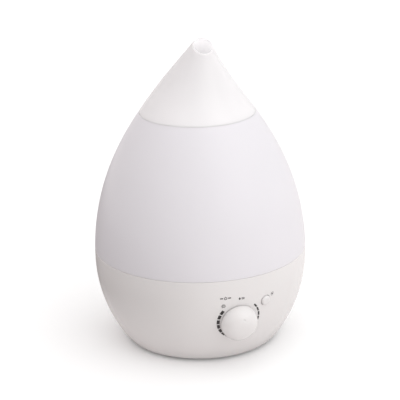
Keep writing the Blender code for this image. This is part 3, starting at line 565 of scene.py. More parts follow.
def nozzle_centre(u):
    """The point of the nozzle's centre line at u of its length."""
    walked = 0.0
    for a, b in zip(NOZZLE_STEPS, NOZZLE_STEPS[1:]):
        run = (b - a).length
        if walked + run >= u * NOZZLE_LENGTH:
            return a.lerp(b, (u * NOZZLE_LENGTH - walked) / run)
        walked += run
    return OUTLET


def nozzle_section(u, inset):
    """The nozzle's cross-section at u, from 0 at its foot to 1 at the outlet, as a ring of points."""
    centre = nozzle_centre(u)
    radius = (
        (2 * u**3 - 3 * u**2 + 1) * body_radius(NOZZLE_FOOT_Z)
        + (u**3 - 2 * u**2 + u) * NOZZLE_LENGTH * body_slope(NOZZLE_FOOT_Z)
        + (3 * u**2 - 2 * u**3) * OUTLET_RADIUS
        + (u**3 - u**2) * NOZZLE_LENGTH * OUTLET_TAPER
    ) - inset
    upright = math.pi / 2
    lean = upright + (OUTLET_TURN - upright) * max(u, 0.0) ** LEAN_GROWTH
    across = Vector((0, math.sin(lean), math.cos(lean)))
    centre = Vector((0, -centre.x, centre.y))
    angles = [math.tau * i / HUGE for i in range(HUGE)]
    return [centre + radius * (math.cos(a) * Vector((1, 0, 0)) + math.sin(a) * across) for a in angles]


def nozzle_cap():
    """The leaning cone, with a rounded foot and a rounded lip at the outlet. Each of its rings is given
    by its share of the nozzle's length and its depth under the outer surface. Near the outlet its inner
    wall is painted with a glow: emission that stands in for daylight through the thin wall."""
    quarter = levels(0, math.pi / 2, CORNER_STEPS + 1)
    lip_drop, foot_drop = LIP_ROUND / NOZZLE_LENGTH, SEAM_ROUND / NOZZLE_LENGTH
    foot = (TANK_RIM_Z + NOZZLE_SEAM - NOZZLE_FOOT_Z) / NOZZLE_LENGTH
    top = 1 - lip_drop

    def wall(u):
        return OUTLET_LIP * u + NOZZLE_FOOT_WALL * (1 - u)

    rings = [(foot + foot_drop * (1 - math.cos(a)), SEAM_ROUND * (1 - math.sin(a))) for a in quarter]
    rings += [(u, 0.0) for u in levels(foot + foot_drop, top, NOZZLE_ROWS)[1:-1]]
    rings += [(top + lip_drop * math.sin(a), LIP_ROUND * (1 - math.cos(a))) for a in quarter]
    rings += [(top + lip_drop * math.cos(a), OUTLET_LIP - LIP_ROUND * (1 - math.sin(a))) for a in quarter]
    first_inner = len(rings) - 1
    rings += [(u, wall(u)) for u in levels(top, 0.0, NOZZLE_INNER_ROWS)[1:]]
    painted_glow_rows = [row for row in range(first_inner, len(rings) - 1) if rings[row][0] > PAINTED_GLOW_FROM]
    bm = bmesh.new()
    sections = [[bm.verts.new(p * MM) for p in nozzle_section(u, inset)] for u, inset in rings]
    bridge(bm, sections, True)
    cone = add_mesh("nozzle_cone", bm, material=MATERIALS["white_thin"])
    # painted light: the inner rows near the outlet take the glowing white, which stands in for daylight
    # through the thin wall
    cone.data.materials.append(MATERIALS["white_painted_glow"])
    for polygon in cone.data.polygons:
        if polygon.index // HUGE in painted_glow_rows:
            polygon.material_index = 1
    stand_for(cone, "nozzle_cap")


def nozzle_collar():
    """The ring bonded in the cone's foot, its beaded skirt, and the ribbed seal round the skirt."""
    foot = heights("nozzle_collar")[0]
    bead, top = foot + 1.1, NOZZLE_FOOT_Z + 1.8
    flange = body_radius(NOZZLE_FOOT_Z) - NOZZLE_FOOT_WALL - GAP
    turn_node("nozzle_collar", "nozzle_collar_ring", [
        (SKIRT_INNER, foot, 0.5), (SKIRT_BEAD, foot, 0.5), (SKIRT_BEAD, bead, 0.5),
        (SKIRT_OUTER, bead, 0.2), (SKIRT_OUTER, NOZZLE_FOOT_Z, 0.3), (flange, NOZZLE_FOOT_Z, 0.3),
        (flange - 1.6, top, 0.4), (SKIRT_INNER, top, 0.5),
    ], HUGE)
    low, high = heights("nozzle_seal_ring")
    inner, outer = SKIRT_OUTER + GAP, NECK_RADIUS - GAP
    waist, lip = outer - 0.8, 0.6
    third = (high - low) / 3
    turn_node("nozzle_seal_ring", "nozzle_seal", [
        (inner, low, 0.4), (waist, low, 0.4), (outer, low + lip, 0.3), (waist, low + third, 0.3),
        (outer, low + 1.5 * third, 0.3), (waist, low + 2 * third, 0.3), (outer, high - lip, 0.3),
        (waist, high, 0.4), (inner, high, 0.4),
    ], HUGE)


# ---- tank

def tank():
    """The milky wall with its sunk roof."""
    outer = [(skin(TANK_FOOT_Z), BASE_RIM_Z + SEAM, 0.25)]
    outer += [(skin(z), z) for z in levels(TANK_FOOT_Z + 1.4, TANK_RIM_Z - 0.8, WALL_ROWS)]
    outer += [(skin(TANK_RIM_Z), TANK_RIM_Z, SEAM_ROUND)]
    recess, recess_z = CHIMNEY_HOLE + 1.2, ROOF_HIGH - 0.6
    roof = [(NECK_RADIUS, TANK_RIM_Z, 0.5), (NECK_RADIUS, ROOF_HIGH, 1.4), (recess + 0.6, ROOF_HIGH, 0.6),
            (recess, recess_z, 0.3), (CHIMNEY_HOLE, recess_z, 0.3), (CHIMNEY_HOLE, ROOF_LOW, 0.4)]
    inner = [(skin(ROOF_LOW, WALL), ROOF_LOW, 3.0)]
    inner += [(skin(z, WALL), z) for z in levels(ROOF_LOW - 8, TANK_FOOT_Z + 2.4, INNER_ROWS)]
    inner += [(skin(TANK_FOOT_Z, WALL), BASE_RIM_Z + SEAM, 0.3)]
    turn_node("tank_shell", "tank_wall", outer + roof + inner, HUGE)


def tank_floor():
    """The floor with its upturned rim, its filler neck and the ribs under it."""
    foot, top = heights("tank_floor")
    low, high = 96.0, top - FLOOR_RIM
    place = place_of("tank_cap")
    edge_low, edge_high = (skin(z, WALL) - GAP - 0.1 for z in (low, top))
    rim_inner = edge_high - 2
    floor = lathe("tank_bottom", [
        (CHIMNEY_HOLE, low, 0.4), (edge_low, low, 0.8), (edge_high, top, 0.7), (rim_inner, top, 0.7),
        (rim_inner, high, 1.2), (CHIMNEY_HOLE, high, 0.4),
    ], HUGE)
    neck_outer, neck_inner = 22.6, 20.0
    join(floor, ring("neck", neck_inner - 0.5, neck_outer, foot, low + 0.8, LARGE, place))
    rib_from, rib_to = (26, -0.8, low - 2.2), (88, 0.8, low + 0.4)
    azimuths = (100, 160, 220, 280, 340)
    join(floor, *[block(f"floor_rib_{turn}", rib_from, rib_to, 0.3, turn=turn) for turn in azimuths])
    drill(floor, "neck_hole", neck_inner, foot - 2, high + 2, LARGE, place)
    stand_for(floor, "tank_floor")


def mist_chimney():
    """The flanged tube that takes the mist from the base up through the tank."""
    low, high = heights("mist_chimney")
    flange, flange_low = 24, heights("tank_floor")[1] - FLOOR_RIM + GAP
    flange_high = flange_low + 2
    turn_node("mist_chimney", "chimney_tube", [
        (CHIMNEY_OUTER, low, 0.6), (CHIMNEY_OUTER, flange_low, 0.3), (flange, flange_low, 0.5),
        (flange, flange_high, 0.6), (CHIMNEY_OUTER, flange_high, 1.2), (CHIMNEY_OUTER, high, 0.8),
        (CHIMNEY_INNER, high, 0.6), (CHIMNEY_INNER, low, 0.6),
    ], LARGE)


def filler_cap():
    """The cap with its grip flutes, water slots and finger ribs."""
    rib_depth, grips, stem_hole = 3.4, 36, 2.5
    low, top = heights("tank_cap")
    low += rib_depth
    high = low + 2.4
    x, y = place = place_of("tank_cap")
    wall, radius = 23.0, 26.0
    cap = lathe("filler_cap_cup", [
        (stem_hole, low, 0.3), (radius - 1.2, low, 0.2), (radius, low + 1.2, 0.5), (radius, top, 0.5),
        (wall, top, 0.4), (wall, high, 0.8), (stem_hole, high, 0.3),
    ], 6 * grips, place, flutes=(grips, 0.5, radius - 0.6))
    slots, slot_inner, slot_outer = [], 5.0, 8.4
    for i in range(3):
        angles = [math.radians(120 * i + 30 + step) for step in range(-42, 43, 6)]
        outline = [around(place, slot_outer, a) for a in angles]
        outline += [around(place, slot_inner, a) for a in reversed(angles)]
        slots.append(prism(f"slot_{i}", outline, low - 2, high + 2))
    cut(cap, *slots)
    ribs, rib_inner, rib_outer, rib_half = [], 11.0, 24.5, 1.6
    for side in (-1, 1):
        near, far = sorted((side * rib_inner, side * rib_outer))
        ribs.append(block(f"finger_rib_{side}", (x + near, y - rib_half, low - rib_depth),
                          (x + far, y + rib_half, low + 0.8), 0.7))
    join(cap, *ribs)
    stand_for(cap, "tank_cap")


def valve():
    """The plunger that hangs in the cap, with its washer and spring, and the washer in the cap."""
    place = place_of("tank_cap")
    low, high = heights("valve_plunger")
    seat, top = (z + GAP for z in heights("valve_seal"))
    tip, stem, hub, head = 4.2, 2.2, 9.0, 12.0
    turn_node("valve_plunger", "valve_stem", [
        (0, low), (3.4, low, 0.4), (tip, low + 0.6, 0.3), (tip, low + 1.7, 0.4), (stem, low + 1.7, 0.2),
        (stem, seat, 0.3), (hub, seat, 0.2), (hub, top, 0.2), (head, top, 0.3), (head, high, 0.5),
        (0, high),
    ], MEDIUM, place)
    washer = ring("valve_washer", hub + GAP, 11.4, *heights("valve_seal"), MEDIUM, place, edge=0.5)
    stand_for(washer, "valve_seal")
    stand_for(ring("cap_washer", 19.7, 22.7, *heights("cap_gasket"), LARGE, place, 0.5), "cap_gasket")
    valve_spring(place)


def valve_spring(place):
    """A compression spring with closed ends."""
    low, high = heights("valve_spring")
    wire, radius, turns, dead, steps_a_turn = 0.35, 3.5, 4.5, 0.75, 36
    low, high = low + wire, high - wire
    curve = bpy.data.curves.new("spring_line", "CURVE")
    curve.dimensions = "3D"
    curve.bevel_depth = wire * MM
    curve.bevel_resolution = 3
    curve.use_fill_caps = True
    spline = curve.splines.new("POLY")
    steps = int(steps_a_turn * turns)
    spline.points.add(steps)
    for i, point in enumerate(spline.points):
        turned = turns * i / steps
        share = min(1.0, max(0.0, (turned - dead) / (turns - 2 * dead)))
        x, y = around(place, radius, math.tau * turned)
        point.co = (x * MM, y * MM, (low + (high - low) * share) * MM, 1)
    helper = add_object("spring_line", curve)
    mesh = evaluated_mesh(helper)
    bpy.data.objects.remove(helper, do_unlink=True)
    mesh.transform(AXIS)
    mesh.shade_smooth()
    paint(mesh, "valve_spring")
    spring = add_object("valve_coil", mesh)
    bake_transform(spring)
    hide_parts("valve_spring")


# ---- base

def base_shell():
    """The bowl, with its countersunk openings for the dial, button, lamp and inlet."""
    outer = [(skin(BOWL_FOOT_Z), BOWL_FOOT_Z, 0.8)]
    outer += [(skin(z), z) for z in levels(BOWL_FOOT_Z + 1.8, BASE_RIM_Z - 2.6, BOWL_ROWS)]
    outer += [(skin(BASE_RIM_Z), BASE_RIM_Z, 1.1)]
    rim = skin(BASE_RIM_Z, WALL)
    ledge = [(rim, BASE_RIM_Z, 0.6), (rim, LEDGE_HIGH, 0.5), (LEDGE_RADIUS, LEDGE_HIGH, 0.5),
             (LEDGE_RADIUS, LEDGE_LOW, 0.5)]
    inner = [(skin(z, WALL), z) for z in levels(LEDGE_LOW, 8, BOWL_INNER_ROWS)]
    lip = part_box("bottom_cover")[1].x / MM + GAP
    inner += [(lip, 6.0, 0.4), (lip, BOWL_FOOT_Z, 0.4)]
    shell = lathe("base_bowl", outer + ledge + inner, HUGE)
    join(shell, rod("dial_boss", 12, -5.8, -1.2, LARGE, transform=panel_frame(0, DIAL_Z)))
    screw_bosses(shell)
    holes = {"dial_hole": (4.3, 0.0, 0, DIAL_Z), "button_hole": (5.1, 0.45, BUTTON_AZIMUTH, BUTTON_Z),
             "lamp_hole": (1.9, 0.3, LED_AZIMUTH, LED_Z), "inlet_hole": (5.5, 0.0, 180, INLET_Z)}
    inside, outside, over = -12, 6, 0.06
    for name, (radius, flare, azimuth, z) in holes.items():
        mouth = radius + flare
        outline = [(0, inside), (radius, inside), (radius, -flare), (mouth, over), (mouth, outside),
                   (0, outside)]
        cut(shell, lathe(name, outline, LARGE, transform=panel_frame(azimuth, z)))
    true_skin(shell)
    stand_for(shell, "base_shell")


def screw_bosses(shell):
    """The ribbed bosses that take the cover's screws, and the holes for the tray's screws."""
    cover_thick, boss_radius, rib_end, rib_half = 2.5, 4.2, 78.0, 1.3
    foot, top = heights("bottom_cover")[0] + cover_thick + GAP, 14.0
    for i in CORNER_SCREWS:
        place = place_of(f"cover_screw_{i}")
        azimuth = math.degrees(math.atan2(place[1], place[0]))
        rib = block("boss_rib", (math.hypot(*place), -rib_half, 9.0), (rib_end, rib_half, top - 1.4), 0.3,
                    turn=azimuth)
        join(shell, rib, rod("boss", boss_radius, foot, top, MEDIUM, place))
        drill(shell, "boss_hole", COVER_HOLE, 0, top - 1.5, SMALL, place)
    for i in RING_SCREWS:
        place = place_of(f"tray_screw_{i}")
        drill(shell, "ledge_hole", SCREW_HOLE, LEDGE_LOW - 2, LEDGE_HIGH + 2, SMALL, place)


def water_tray():
    """The basin with its sounding well, valve and float posts, air collar and lamp window."""
    foot, _ = heights("water_tray")
    rim_high, floor_low, floor_high, well_low = 91.0, 74.0, 76.4, 66.0
    rim_low, well_high = rim_high - WALL, well_low + WALL
    rim = skin(rim_high, WALL) - GAP
    wall, floor_out, well, opening = 94.2, 91.2, 20.0, 8.5
    tray = lathe("tray_basin", [
        (rim, rim_low, 0.5), (rim, rim_high, 0.7), (wall - WALL, rim_high, 1.0),
        (floor_out - 2, floor_high, 4.0), (well, floor_high, 1.2), (well - WALL, well_high, 1.6),
        (opening, well_high, 0.4), (opening, well_low, 0.3), (well + 1, well_low, 1.0),
        (well + WALL, floor_low, 1.0), (floor_out, floor_low, 2.0), (wall, rim_low, 1.0),
    ], HUGE)
    under, over, root = floor_low - 2, floor_high + 2, floor_low + 0.7
    drill(tray, "lamp_window", 6.3, under, over, LARGE, place_of("light_lens"))
    post_top = heights("valve_plunger")[0] - GAP
    join(tray, rod("valve_post", 3.5, root, post_top, MEDIUM, place_of("tank_cap"), edge=0.6))
    join(tray, rod("float_post", 3.0, root, 92.6, MEDIUM, place_of("float_puck"), edge=0.5))
    fan = place_of("air_duct")
    drill(tray, "air_hole", 10.0, under, over, LARGE, fan)
    join(tray, ring("air_collar", 9.0, 11.0, floor_low - 4, 88.0, LARGE, fan, edge=0.6))
    rib_from, rib_to = (30, -0.9, floor_high - 0.6), (86, 0.9, floor_high + 1.0)
    join(tray, *[block(f"tray_rib_{turn}", rib_from, rib_to, turn=turn) for turn in (-35, 200, 315)])
    for i in RING_SCREWS:
        place = place_of(f"tray_screw_{i}")
        drill(tray, "rim_hole", SCREW_HOLE, rim_low - 2, rim_high - 0.8, SMALL, place)
        place = place_of(f"clamp_screw_{i}")
        join(tray, rod("clamp_boss", 3.0, foot, well_low + 1, MEDIUM, place))
        drill(tray, "clamp_hole", SCREW_HOLE, foot - 2, well_low + 0.5, SMALL, place)
    stand_for(tray, "water_tray")


def sounder():
    """The transducer disc, with the ring of its electrode, and the gasket that grips it."""
    low, high = heights("transducer_disc")
    disc, groove = 10.0, high - 0.12
    turn_node("transducer_disc", "sounder_disc", [
        (0, low), (disc, low, 0.2), (disc, high, 0.2), (7.4, high, 0.1), (7.2, groove, 0.05),
        (6.8, groove, 0.05), (6.6, high, 0.1), (0, high),
    ], LARGE)
    low, high = heights("transducer_gasket")
    outer, inner, slot = 12.6, 9.0, disc + GAP
    slot_high, slot_low = high - 1.1, high - 2.5
    turn_node("transducer_gasket", "sounder_gasket", [
        (outer, low, 0.4), (outer, high, 0.4), (inner, high, 0.3), (inner, slot_high, 0.2),
        (slot, slot_high, 0.1), (slot, slot_low, 0.1), (inner, slot_low, 0.2), (inner, low, 0.3),
    ], LARGE)


def float_parts():
    """The float, with a shallow ring in its top, and the toothed clip that keeps it on its post."""
    place = place_of("float_puck")
    low, high = heights("float_puck")
    bore, outer, dish = 3.3, 12.0, high - 0.5
    turn_node("float_puck", "float_ring", [
        (bore, low, 0.5), (outer - 1, low, 0.8), (outer, low + 1, 0.8), (outer, high - 1, 0.8),
        (outer - 1, high, 0.8), (8.6, high, 0.3), (8.2, dish, 0.2), (6.0, dish, 0.2), (5.6, high, 0.3),
        (bore, high, 0.5),
    ], LARGE, place)
    low, high = heights("float_retainer")
    clip = ring("float_clip", bore, 6.5, low, high, MEDIUM, place, edge=0.25)
    spots = [around(place, 3.6, math.radians(72 * i + 10)) for i in range(5)]
    drill(clip, "notch", 0.75, low - 1, high + 1, 12, *spots)
    stand_for(clip, "float_retainer")


def lamp_lens():
    """The flanged lens of the night light, with a dished face."""
    low, high = heights("light_lens")
    flange, radius, face, dish = 8.4, 6.0, high - 0.1, high - 0.5
    turn_node("light_lens", "night_lamp_lens", [
        (0, low), (flange, low, 0.3), (flange, low + 2, 0.3), (radius, low + 2, 0.2), (radius, face, 0.6),
        (4.2, face, 0.3), (3.6, dish, 0.3), (0, dish),
    ], LARGE, place_of("light_lens"))


# ---- controls

def knob():
    """The smooth domed dial, hollow behind, with a small dimple that shows its setting."""
    dimple_angle, dimple_radius, dimple_aside, step = math.radians(57.0), 1.3, -0.45, 0.01

    def dome_point(angle):
        across, up = math.cos(angle) ** DOME_SIDE, math.sin(angle) ** DOME_TOP
        return Vector((KNOB_RADIUS * across, KNOB_HEIGHT * up))

    dome = [tuple(dome_point(angle)) for angle in levels(0, math.pi / 2, DOME_ROWS)[:-1]]
    dome[0] = (KNOB_RADIUS - 0.25, 0.0, 0.2)
    bore, hub = 2.9, 5.2
    hollow = [(0, 12.4), (bore, 12.4), (bore, 3.0, 0.3), (hub, 3.0, 0.3), (hub, 12.1, 1.0),
              (10.0, 11.0, 1.5), (14.1, 6.8, 2.0), (KNOB_RADIUS - 2.2, 0, 0.3)]
    transform = panel_frame(0, DIAL_Z)
    dial = lathe("dial_knob", hollow + dome + [(0, KNOB_HEIGHT)], HUGE, transform=transform)
    at = dome_point(dimple_angle)
    along = dome_point(dimple_angle + step) - dome_point(dimple_angle - step)
    tilt = Matrix.Rotation(-math.atan2(along.y, -along.x), 4, "X")
    spot = transform @ Matrix.Translation(Vector((dimple_aside, at.x, at.y)) * MM) @ tilt
    outline = [(0, -0.5), (0.9, -0.38), (dimple_radius, 0.0), (dimple_radius, 3), (0, 3)]
    cut(dial, lathe("dimple", outline, MEDIUM, transform=spot))
    stand_for(dial, "knob")


def panel_pieces():
    """The light button, the power lamp and the power socket, each in its opening in the bowl."""
    stem, flange, cap = 1.8, 6.6, 4.7
    turn_node("light_button", "lamp_button", [
        (0, -9.5), (stem, -9.5, 0.2), (stem, -4.8, 0.3), (flange, -4.8, 0.3), (flange, -3.6, 0.3),
        (cap, -3.6, 0.2), (cap, 0.9, 1.4), (4.1, 1.9, 1.6), (2.4, 2.4, 1.6), (0, 2.5),
    ], LARGE, transform=panel_frame(BUTTON_AZIMUTH, BUTTON_Z))
    body, face = 2.6, 1.5
    lamp = lathe("power_lamp", [
        (0, -7), (body, -7, 0.2), (body, -3.4, 0.3), (face, -3.4, 0.1), (face, 0.2, 0.5), (0.9, 0.6, 0.5),
        (0, 0.7),
    ], MEDIUM, transform=panel_frame(LED_AZIMUTH, LED_Z))
    lamp.data.materials.append(MATERIALS["power_lens"])
    stand_for(lamp, "power_led")
    barrel, rim, well, pin, rim_low = 5.2, 7.4, 3.2, 1.0, GAP + 0.1
    turn_node("dc_inlet", "power_socket", [
        (0, -13), (barrel, -13, 0.3), (barrel, rim_low, 0.1), (rim, rim_low, 0.2), (rim, 1.9, 0.7),
        (4.0, 1.9, 0.3), (well, 1.2, 0.2), (well, -10), (pin, -10), (pin, 1.0, 0.4), (0, 1.4),
    ], LARGE, transform=panel_frame(180, INLET_Z))


# ---- print on the panel

PRINT_RISE, PRINT_SINK = 0.07, 0.06
SCALE_CENTRE, SCALE_RADIUS = (0.85, 1.0), 20.3
SCALE_FIRST, SCALE_PITCH, SCALE_COUNT = 38.2, 15.57, 17  # first dash and step in degrees


def on_skin(panel, u, v, lift):
    """The point of the bowl straight under (u, v) of a panel frame, raised by lift, in metres."""
    out = panel.to_3x3() @ Vector((0, 0, 1))
    start = panel @ Vector((u * MM, v * MM, 0))
    depth = 0.0
    for _ in range(12):
        point = (start + out * depth * MM - AXIS.translation) / MM
        depth -= math.hypot(point.x, point.y) - body_radius(point.z)
    return start + out * (depth + lift) * MM


def stripe(bm, panel, line):
    """A raised strip of print along a line of (u, v, half width) on the panel."""
    count = len(line)
    rings = []
    for i, (u, v, half) in enumerate(line):
        before, after = line[max(0, i - 1)], line[min(count - 1, i + 1)]
        along = Vector((after[0] - before[0], after[1] - before[1])).normalized()
        side = Vector((-along.y, along.x)) * half
        corners = []
        for sign, lift in ((1, -PRINT_SINK), (1, PRINT_RISE), (-1, PRINT_RISE), (-1, -PRINT_SINK)):
            corners.append(bm.verts.new(on_skin(panel, u + sign * side.x, v + sign * side.y, lift)))
        rings.append(corners)
    bridge(bm, rings, False)
    bm.faces.new(rings[0][::-1])
    bm.faces.new(rings[-1])


def mist_scale():
    """Dashes round the dial that thicken from least to most mist."""
    panel = panel_frame(0, DIAL_Z)
    dash, thin, thick = 12.6, 1.6, 2.9
    bm = bmesh.new()
    for i in range(SCALE_COUNT):
        start = SCALE_FIRST - SCALE_PITCH * i - dash / 2
        half = (thin + (thick - thin) * i / (SCALE_COUNT - 1)) / 2
        stripe(bm, panel, arc(*SCALE_CENTRE, SCALE_RADIUS, start, start + dash, half, 4))
    scale = add_mesh("mist_scale", bm, Matrix.Identity(4), MATERIALS["print_dark"])
    add_detail(scale, "base_shell")


def arc(u, v, radius, start, end, half, steps=14):
    angles = [math.radians(start + (end - start) * i / steps) for i in range(steps + 1)]
    return [(*around((u, v), radius, a), half) for a in angles]


def bar(u0, v0, u1, v1, half, steps=3):
    return [(u0 + (u1 - u0) * i / steps, v0 + (v1 - v0) * i / steps, half) for i in range(steps + 1)]


def power_symbol():
    """A broken ring with a stroke through its gap, between two bars."""
    return [arc(0, -0.15, 1.2, 125, 415, 0.3), bar(0, 0.2, 0, 1.6, 0.3),
            bar(-5.2, -0.1, -2.4, -0.1, 0.55), bar(2.4, -0.1, 5.2, -0.1, 0.55)]


def drop_symbol():
    """A drop, and two waves beside it."""
    widths = (0.08, 0.45, 0.8, 1.0, 1.05, 0.85, 0.45, 0.1)
    drop = [(-1.9, 1.5 - 0.4 * i, width) for i, width in enumerate(widths)]
    waves = [[(0.23 * i, v + 0.28 * math.sin(i * 0.9), 0.3) for i in range(14)] for v in (0.6, -0.6)]
    return [drop, *waves]


def lamp_symbol():
    """A small disc with eight rays."""
    ways = [Vector(around((0, 0), 1, math.radians(45 * i))) for i in range(8)]
    return [arc(0, 0, 0.42, 0, 350, 0.4)] + [bar(*(way * 1.25), *(way * 2.0), 0.22) for way in ways]


def symbols():
    """Small grey signs over the power lamp, the dial and the light button."""
    signs = {"power_sign": (power_symbol, -13.8, 75.4), "mist_sign": (drop_symbol, 1.8, 73.0),
             "light_sign": (lamp_symbol, 36.0, 69.9)}
    for name, (shape, arc_length, z) in signs.items():
        panel = panel_frame(math.degrees(arc_length / body_radius(z)), z)
        bm = bmesh.new()
        for line in shape():
            stripe(bm, panel, line)
        add_detail(add_mesh(name, bm, Matrix.Identity(4), MATERIALS["print_grey"]), "base_shell")


# ---- bottom

def bottom_cover():
    """The cover with its intake grille, screw seats, foot recesses and board posts, then its feet."""
    low, high = 3.0, 5.5
    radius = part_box("bottom_cover")[1].x / MM
    edge_low, under, over = low + 0.5, 0, 9
    cover = lathe("underside_cover", [
        (0, low), (radius - 3, low, 0.2), (radius - 2.4, edge_low, 0.2), (radius, edge_low, 0.5),
        (radius, high, 0.4), (0, high),
    ], HUGE)
    x, y = place_of("intake_filter")
    half, slot, pitch = 14, 3.4, 6
    lefts = [x - half + pitch * i for i in range(5)]
    cut(cover, *[block("grille_slot", (left, y - half, under), (left + slot, y + half, over), 1.2)
                 for left in lefts])
    feet = [place_of(f"foot_{i}") for i in CORNER_SCREWS]
    screws = [place_of(f"cover_screw_{i}") for i in CORNER_SCREWS]
    drill(cover, "foot_recess", 7.3, 1.0, 4.0, MEDIUM, *feet)
    drill(cover, "screw_hole", COVER_HOLE, under, over, SMALL, *screws)
    drill(cover, "screw_seat", 3.6, under, 4.2, MEDIUM, *screws)
    join(cover, ring("centre_ring", 11.0, 12.2, low - 0.45, edge_low, LARGE, edge=0.2))
    board_low, board_high = (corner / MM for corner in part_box("driver_board"))
    x, y = place_of("driver_board")
    reach_x, reach_y = ((board_high[k] - board_low[k]) / 2 - 4 for k in (0, 1))
    for sx, sy in ((-1, -1), (1, -1), (-1, 1), (1, 1)):
        place = (x + sx * reach_x, y + sy * reach_y)
        join(cover, rod("board_post", 3.0, high - 1, board_low.z - GAP, MEDIUM, place, edge=0.4))
    stand_for(cover, "bottom_cover")
    for i, place in enumerate(feet, 1):
        rubber_foot(i, place)
    for i, place in enumerate(screws, 1):
        cover_screw(i, place)


def rubber_foot(index, place):
    """A foot with a sunk middle and a sunk ring in its sole."""
    sole, top = heights(f"foot_{index}")
    sunk = sole + 0.35
    turn_node(f"foot_{index}", f"rubber_foot_{index}", [
        (0, sunk), (1.8, sunk, 0.2), (2.1, sole, 0.2), (3.6, sole, 0.2), (3.9, sunk, 0.2),
        (4.7, sunk, 0.2), (5.0, sole, 0.2), (7.0, sole, 0.6), (7.0, top, 0.4), (0, top),
    ], MEDIUM, place)


def cover_screw(index, place):
    """A pan-head screw with a cross recess and a pointed, threaded shank."""
    low, tip = heights(f"cover_screw_{index}")
    shank, head, head_high = 1.5, 3.2, 3.9
    root, half_thread, pitch = shank - 0.35, 0.3, 0.9
    thread = []
    z = head_high + 0.6
    while z < tip - 2.0:
        thread += [(root, z), (shank, z + half_thread), (root, z + 2 * half_thread)]
        z += pitch
    screw = lathe(f"base_screw_{index}", [
        (0, low), (head * 0.7, low, 0.5), (head, low + 0.8, 0.3), (head, head_high, 0.15),
        (shank - 0.3, head_high), *thread, (root, tip - 1.6), (0.3, tip), (0, tip),
    ], SMALL, place)
    centre = AXIS @ Matrix.Translation((place[0] * MM, place[1] * MM, 0))
    arm_low, arm_high = (-1.6, -0.34, low - 1), (1.6, 0.34, low + 0.9)
    cut(screw, *[block("cross", arm_low, arm_high, 0, centre, turn + 17 * index) for turn in (0, 90)])
    stand_for(screw, f"cover_screw_{index}")


def intake_filter():
    """The foam pad over the grille: soft edges and an uneven, open-celled face."""
    low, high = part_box("intake_filter")
    bm = box_mesh(high - low, (low + high) / 2, 0.9, 2)
    bmesh.ops.subdivide_edges(bm, edges=bm.edges[:], cuts=5, use_grid_fill=True)
    half_depth = 0.12 * MM
    for vert in bm.verts:
        wave = math.sin(vert.co.x * 2300) * math.sin(vert.co.y * 1900 + vert.co.z * 700)
        vert.co -= vert.normal * half_depth * (1 + wave)
    pad = add_mesh("foam_pad", bm, Matrix.Identity(4))
    stand_for(pad, "intake_filter")


def refinish_frame():
    """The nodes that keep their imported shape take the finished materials."""
    for name, node in frame["nodes"].items():
        if not node.hide_render:
            paint(node.data, name)


# ---- studio

WHITE = (1.0, 1.0, 1.0, 1.0)
KEY_WAY = (0.75, -0.45, 0.15)
KEY_AZIMUTH, KEY_ELEVATION, KEY_DISTANCE, KEY_SIZE, KEY_POWER = 26, 34, 1.5, 1.3, 3.0
KEY_AIM = Vector((0, 0, 0.14))
ROOM_DIM, ROOM_BRIGHT, CEILING = 0.72, 0.95, 0.46
TABLE_RADIUS = 9.0
TABLE_BOUNCE, FAR_BOUNCE = 0.83, 0.3
BACK_LEFT = (-0.93, 0.36, 0.0)


def key_light():
    """A softbox that faces the body, placed by its azimuth from the front and its elevation."""
    light = bpy.data.lights.new("key", "AREA")
    light.shape = "RECTANGLE"
    light.size = light.size_y = KEY_SIZE
    light.energy = KEY_POWER
    obj = add_object("key", light)
    turn, rise = math.radians(KEY_AZIMUTH), math.radians(KEY_ELEVATION)
    way = Vector((math.sin(turn) * math.cos(rise), -math.cos(turn) * math.cos(rise), math.sin(rise)))
    obj.location = KEY_AIM + way * KEY_DISTANCE
    obj.rotation_euler = (-way).to_track_quat("-Z", "Y").to_euler()


def smooth(tree, source, *ends):
    return remap(tree, source, *ends, interpolation_type="SMOOTHSTEP")


def toward(tree, place, way):
    """How far a place lies towards way."""
    node = add_node(tree, "VectorMath", {0: place, 1: way}, operation="DOT_PRODUCT")
    return node.outputs["Value"]


def seen_and_thrown(tree, seen, thrown):
    """A shader that the camera sees as one thing, while its light on the rest comes from another."""
    direct = add_node(tree, "LightPath").outputs["Is Camera Ray"]
    return add_node(tree, "MixShader", {0: direct, 1: thrown.outputs[0], 2: seen.outputs[0]}).outputs[0]


def table():
    """A white table top, which shows brighter than the light that it throws back on the body. It throws
    most from a band round the body, at its back left."""
    bm = bmesh.new()
    bmesh.ops.create_circle(bm, cap_ends=True, segments=LARGE, radius=TABLE_RADIUS)
    made = finish("table_white", (0.92, 0.92, 0.92), 0.8, patch=0.003, spread=0.02, Specular_IOR_Level=0.1,
                  Emission_Color=WHITE, Emission_Strength=0.06)
    tree = made.node_tree
    place = add_node(tree, "TexCoord").outputs["Object"]
    distance = add_node(tree, "VectorMath", {0: place}, operation="LENGTH").outputs["Value"]
    back_left = toward(tree, place, BACK_LEFT)
    band = 1.0
    for source, start, end in ((distance, 0.1, 0.2), (distance, 1.3, 0.8), (back_left, -0.04, 0.14)):
        factors = {0: band, 1: smooth(tree, source, start, end)}
        band = add_node(tree, "Math", factors, operation="MULTIPLY").outputs[0]
    near = (TABLE_BOUNCE, 0.97 * TABLE_BOUNCE, 0.965 * TABLE_BOUNCE, 1)
    far = (FAR_BOUNCE, 0.93 * FAR_BOUNCE, 0.92 * FAR_BOUNCE, 1)
    thrown = add_node(tree, "BsdfDiffuse", {"Color": blend_colors(tree, near, far, band)})
    both = seen_and_thrown(tree, tree.nodes["Principled BSDF"], thrown)
    tree.links.new(both, tree.nodes["Material Output"].inputs["Surface"])
    return add_mesh("table", bm, Matrix.Identity(4), made)


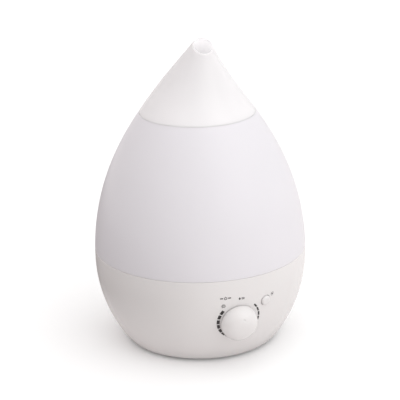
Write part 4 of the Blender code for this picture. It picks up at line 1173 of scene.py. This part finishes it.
def studio():
    """A white table in a white room, a large softbox at the right front and a dim left side."""
    table()
    world = bpy.data.worlds.new("room")
    bpy.context.scene.world = world
    world.use_nodes = True
    tree = world.node_tree
    tree.nodes.clear()
    place = add_node(tree, "TexCoord").outputs["Generated"]
    to_key = toward(tree, place, Vector(KEY_WAY).normalized())
    side = smooth(tree, to_key, -1.0, 1.0, ROOM_DIM, ROOM_BRIGHT)
    above = smooth(tree, toward(tree, place, (0, 0, 1)), 0.25, 1.0, 0.0, CEILING)
    warm = (1.0, 0.955, 0.95, 1)
    room = add_node(tree, "Background", {
        "Color": blend_colors(tree, warm, WHITE, smooth(tree, to_key, -0.8, 0.3)),
        "Strength": add_node(tree, "Math", {0: side, 1: above}).outputs[0],
    })
    backdrop = add_node(tree, "Background", {"Color": WHITE})
    add_node(tree, "OutputWorld", {"Surface": seen_and_thrown(tree, backdrop, room)})
    key_light()
    bpy.context.scene.view_settings.view_transform = "Standard"


CAMERA_PLACE = (-0.4889, -1.3087, 0.6290)
CAMERA_RIGHT = (0.937, -0.349)
CAMERA_LENS, SENSOR_WIDTH, CAMERA_ROLL = 138.3, 36, -1.17
AIM_HEIGHT, AIM_ASIDE = 0.1368, 0.0007


def camera():
    """From the front left and above, with a long lens."""
    data = bpy.data.cameras.new("camera")
    data.lens = CAMERA_LENS
    data.sensor_width = SENSOR_WIDTH
    data.clip_start, data.clip_end = 0.05, 30
    obj = add_object("camera", data)
    obj.location = CAMERA_PLACE
    aim = AXIS.translation + Vector((*CAMERA_RIGHT, 0)) * AIM_ASIDE + Vector((0, 0, AIM_HEIGHT))
    roll = Matrix.Rotation(math.radians(CAMERA_ROLL), 3, "Z")
    way = (aim - obj.location).to_track_quat("-Z", "Y").to_matrix()
    obj.rotation_euler = (way @ roll).to_euler()
    bpy.context.scene.camera = obj


camera()
studio()
nozzle_cap()
nozzle_collar()
tank()
tank_floor()
mist_chimney()
filler_cap()
valve()
base_shell()
water_tray()
sounder()
float_parts()
lamp_lens()
knob()
panel_pieces()
mist_scale()
symbols()
bottom_cover()
intake_filter()
refinish_frame()
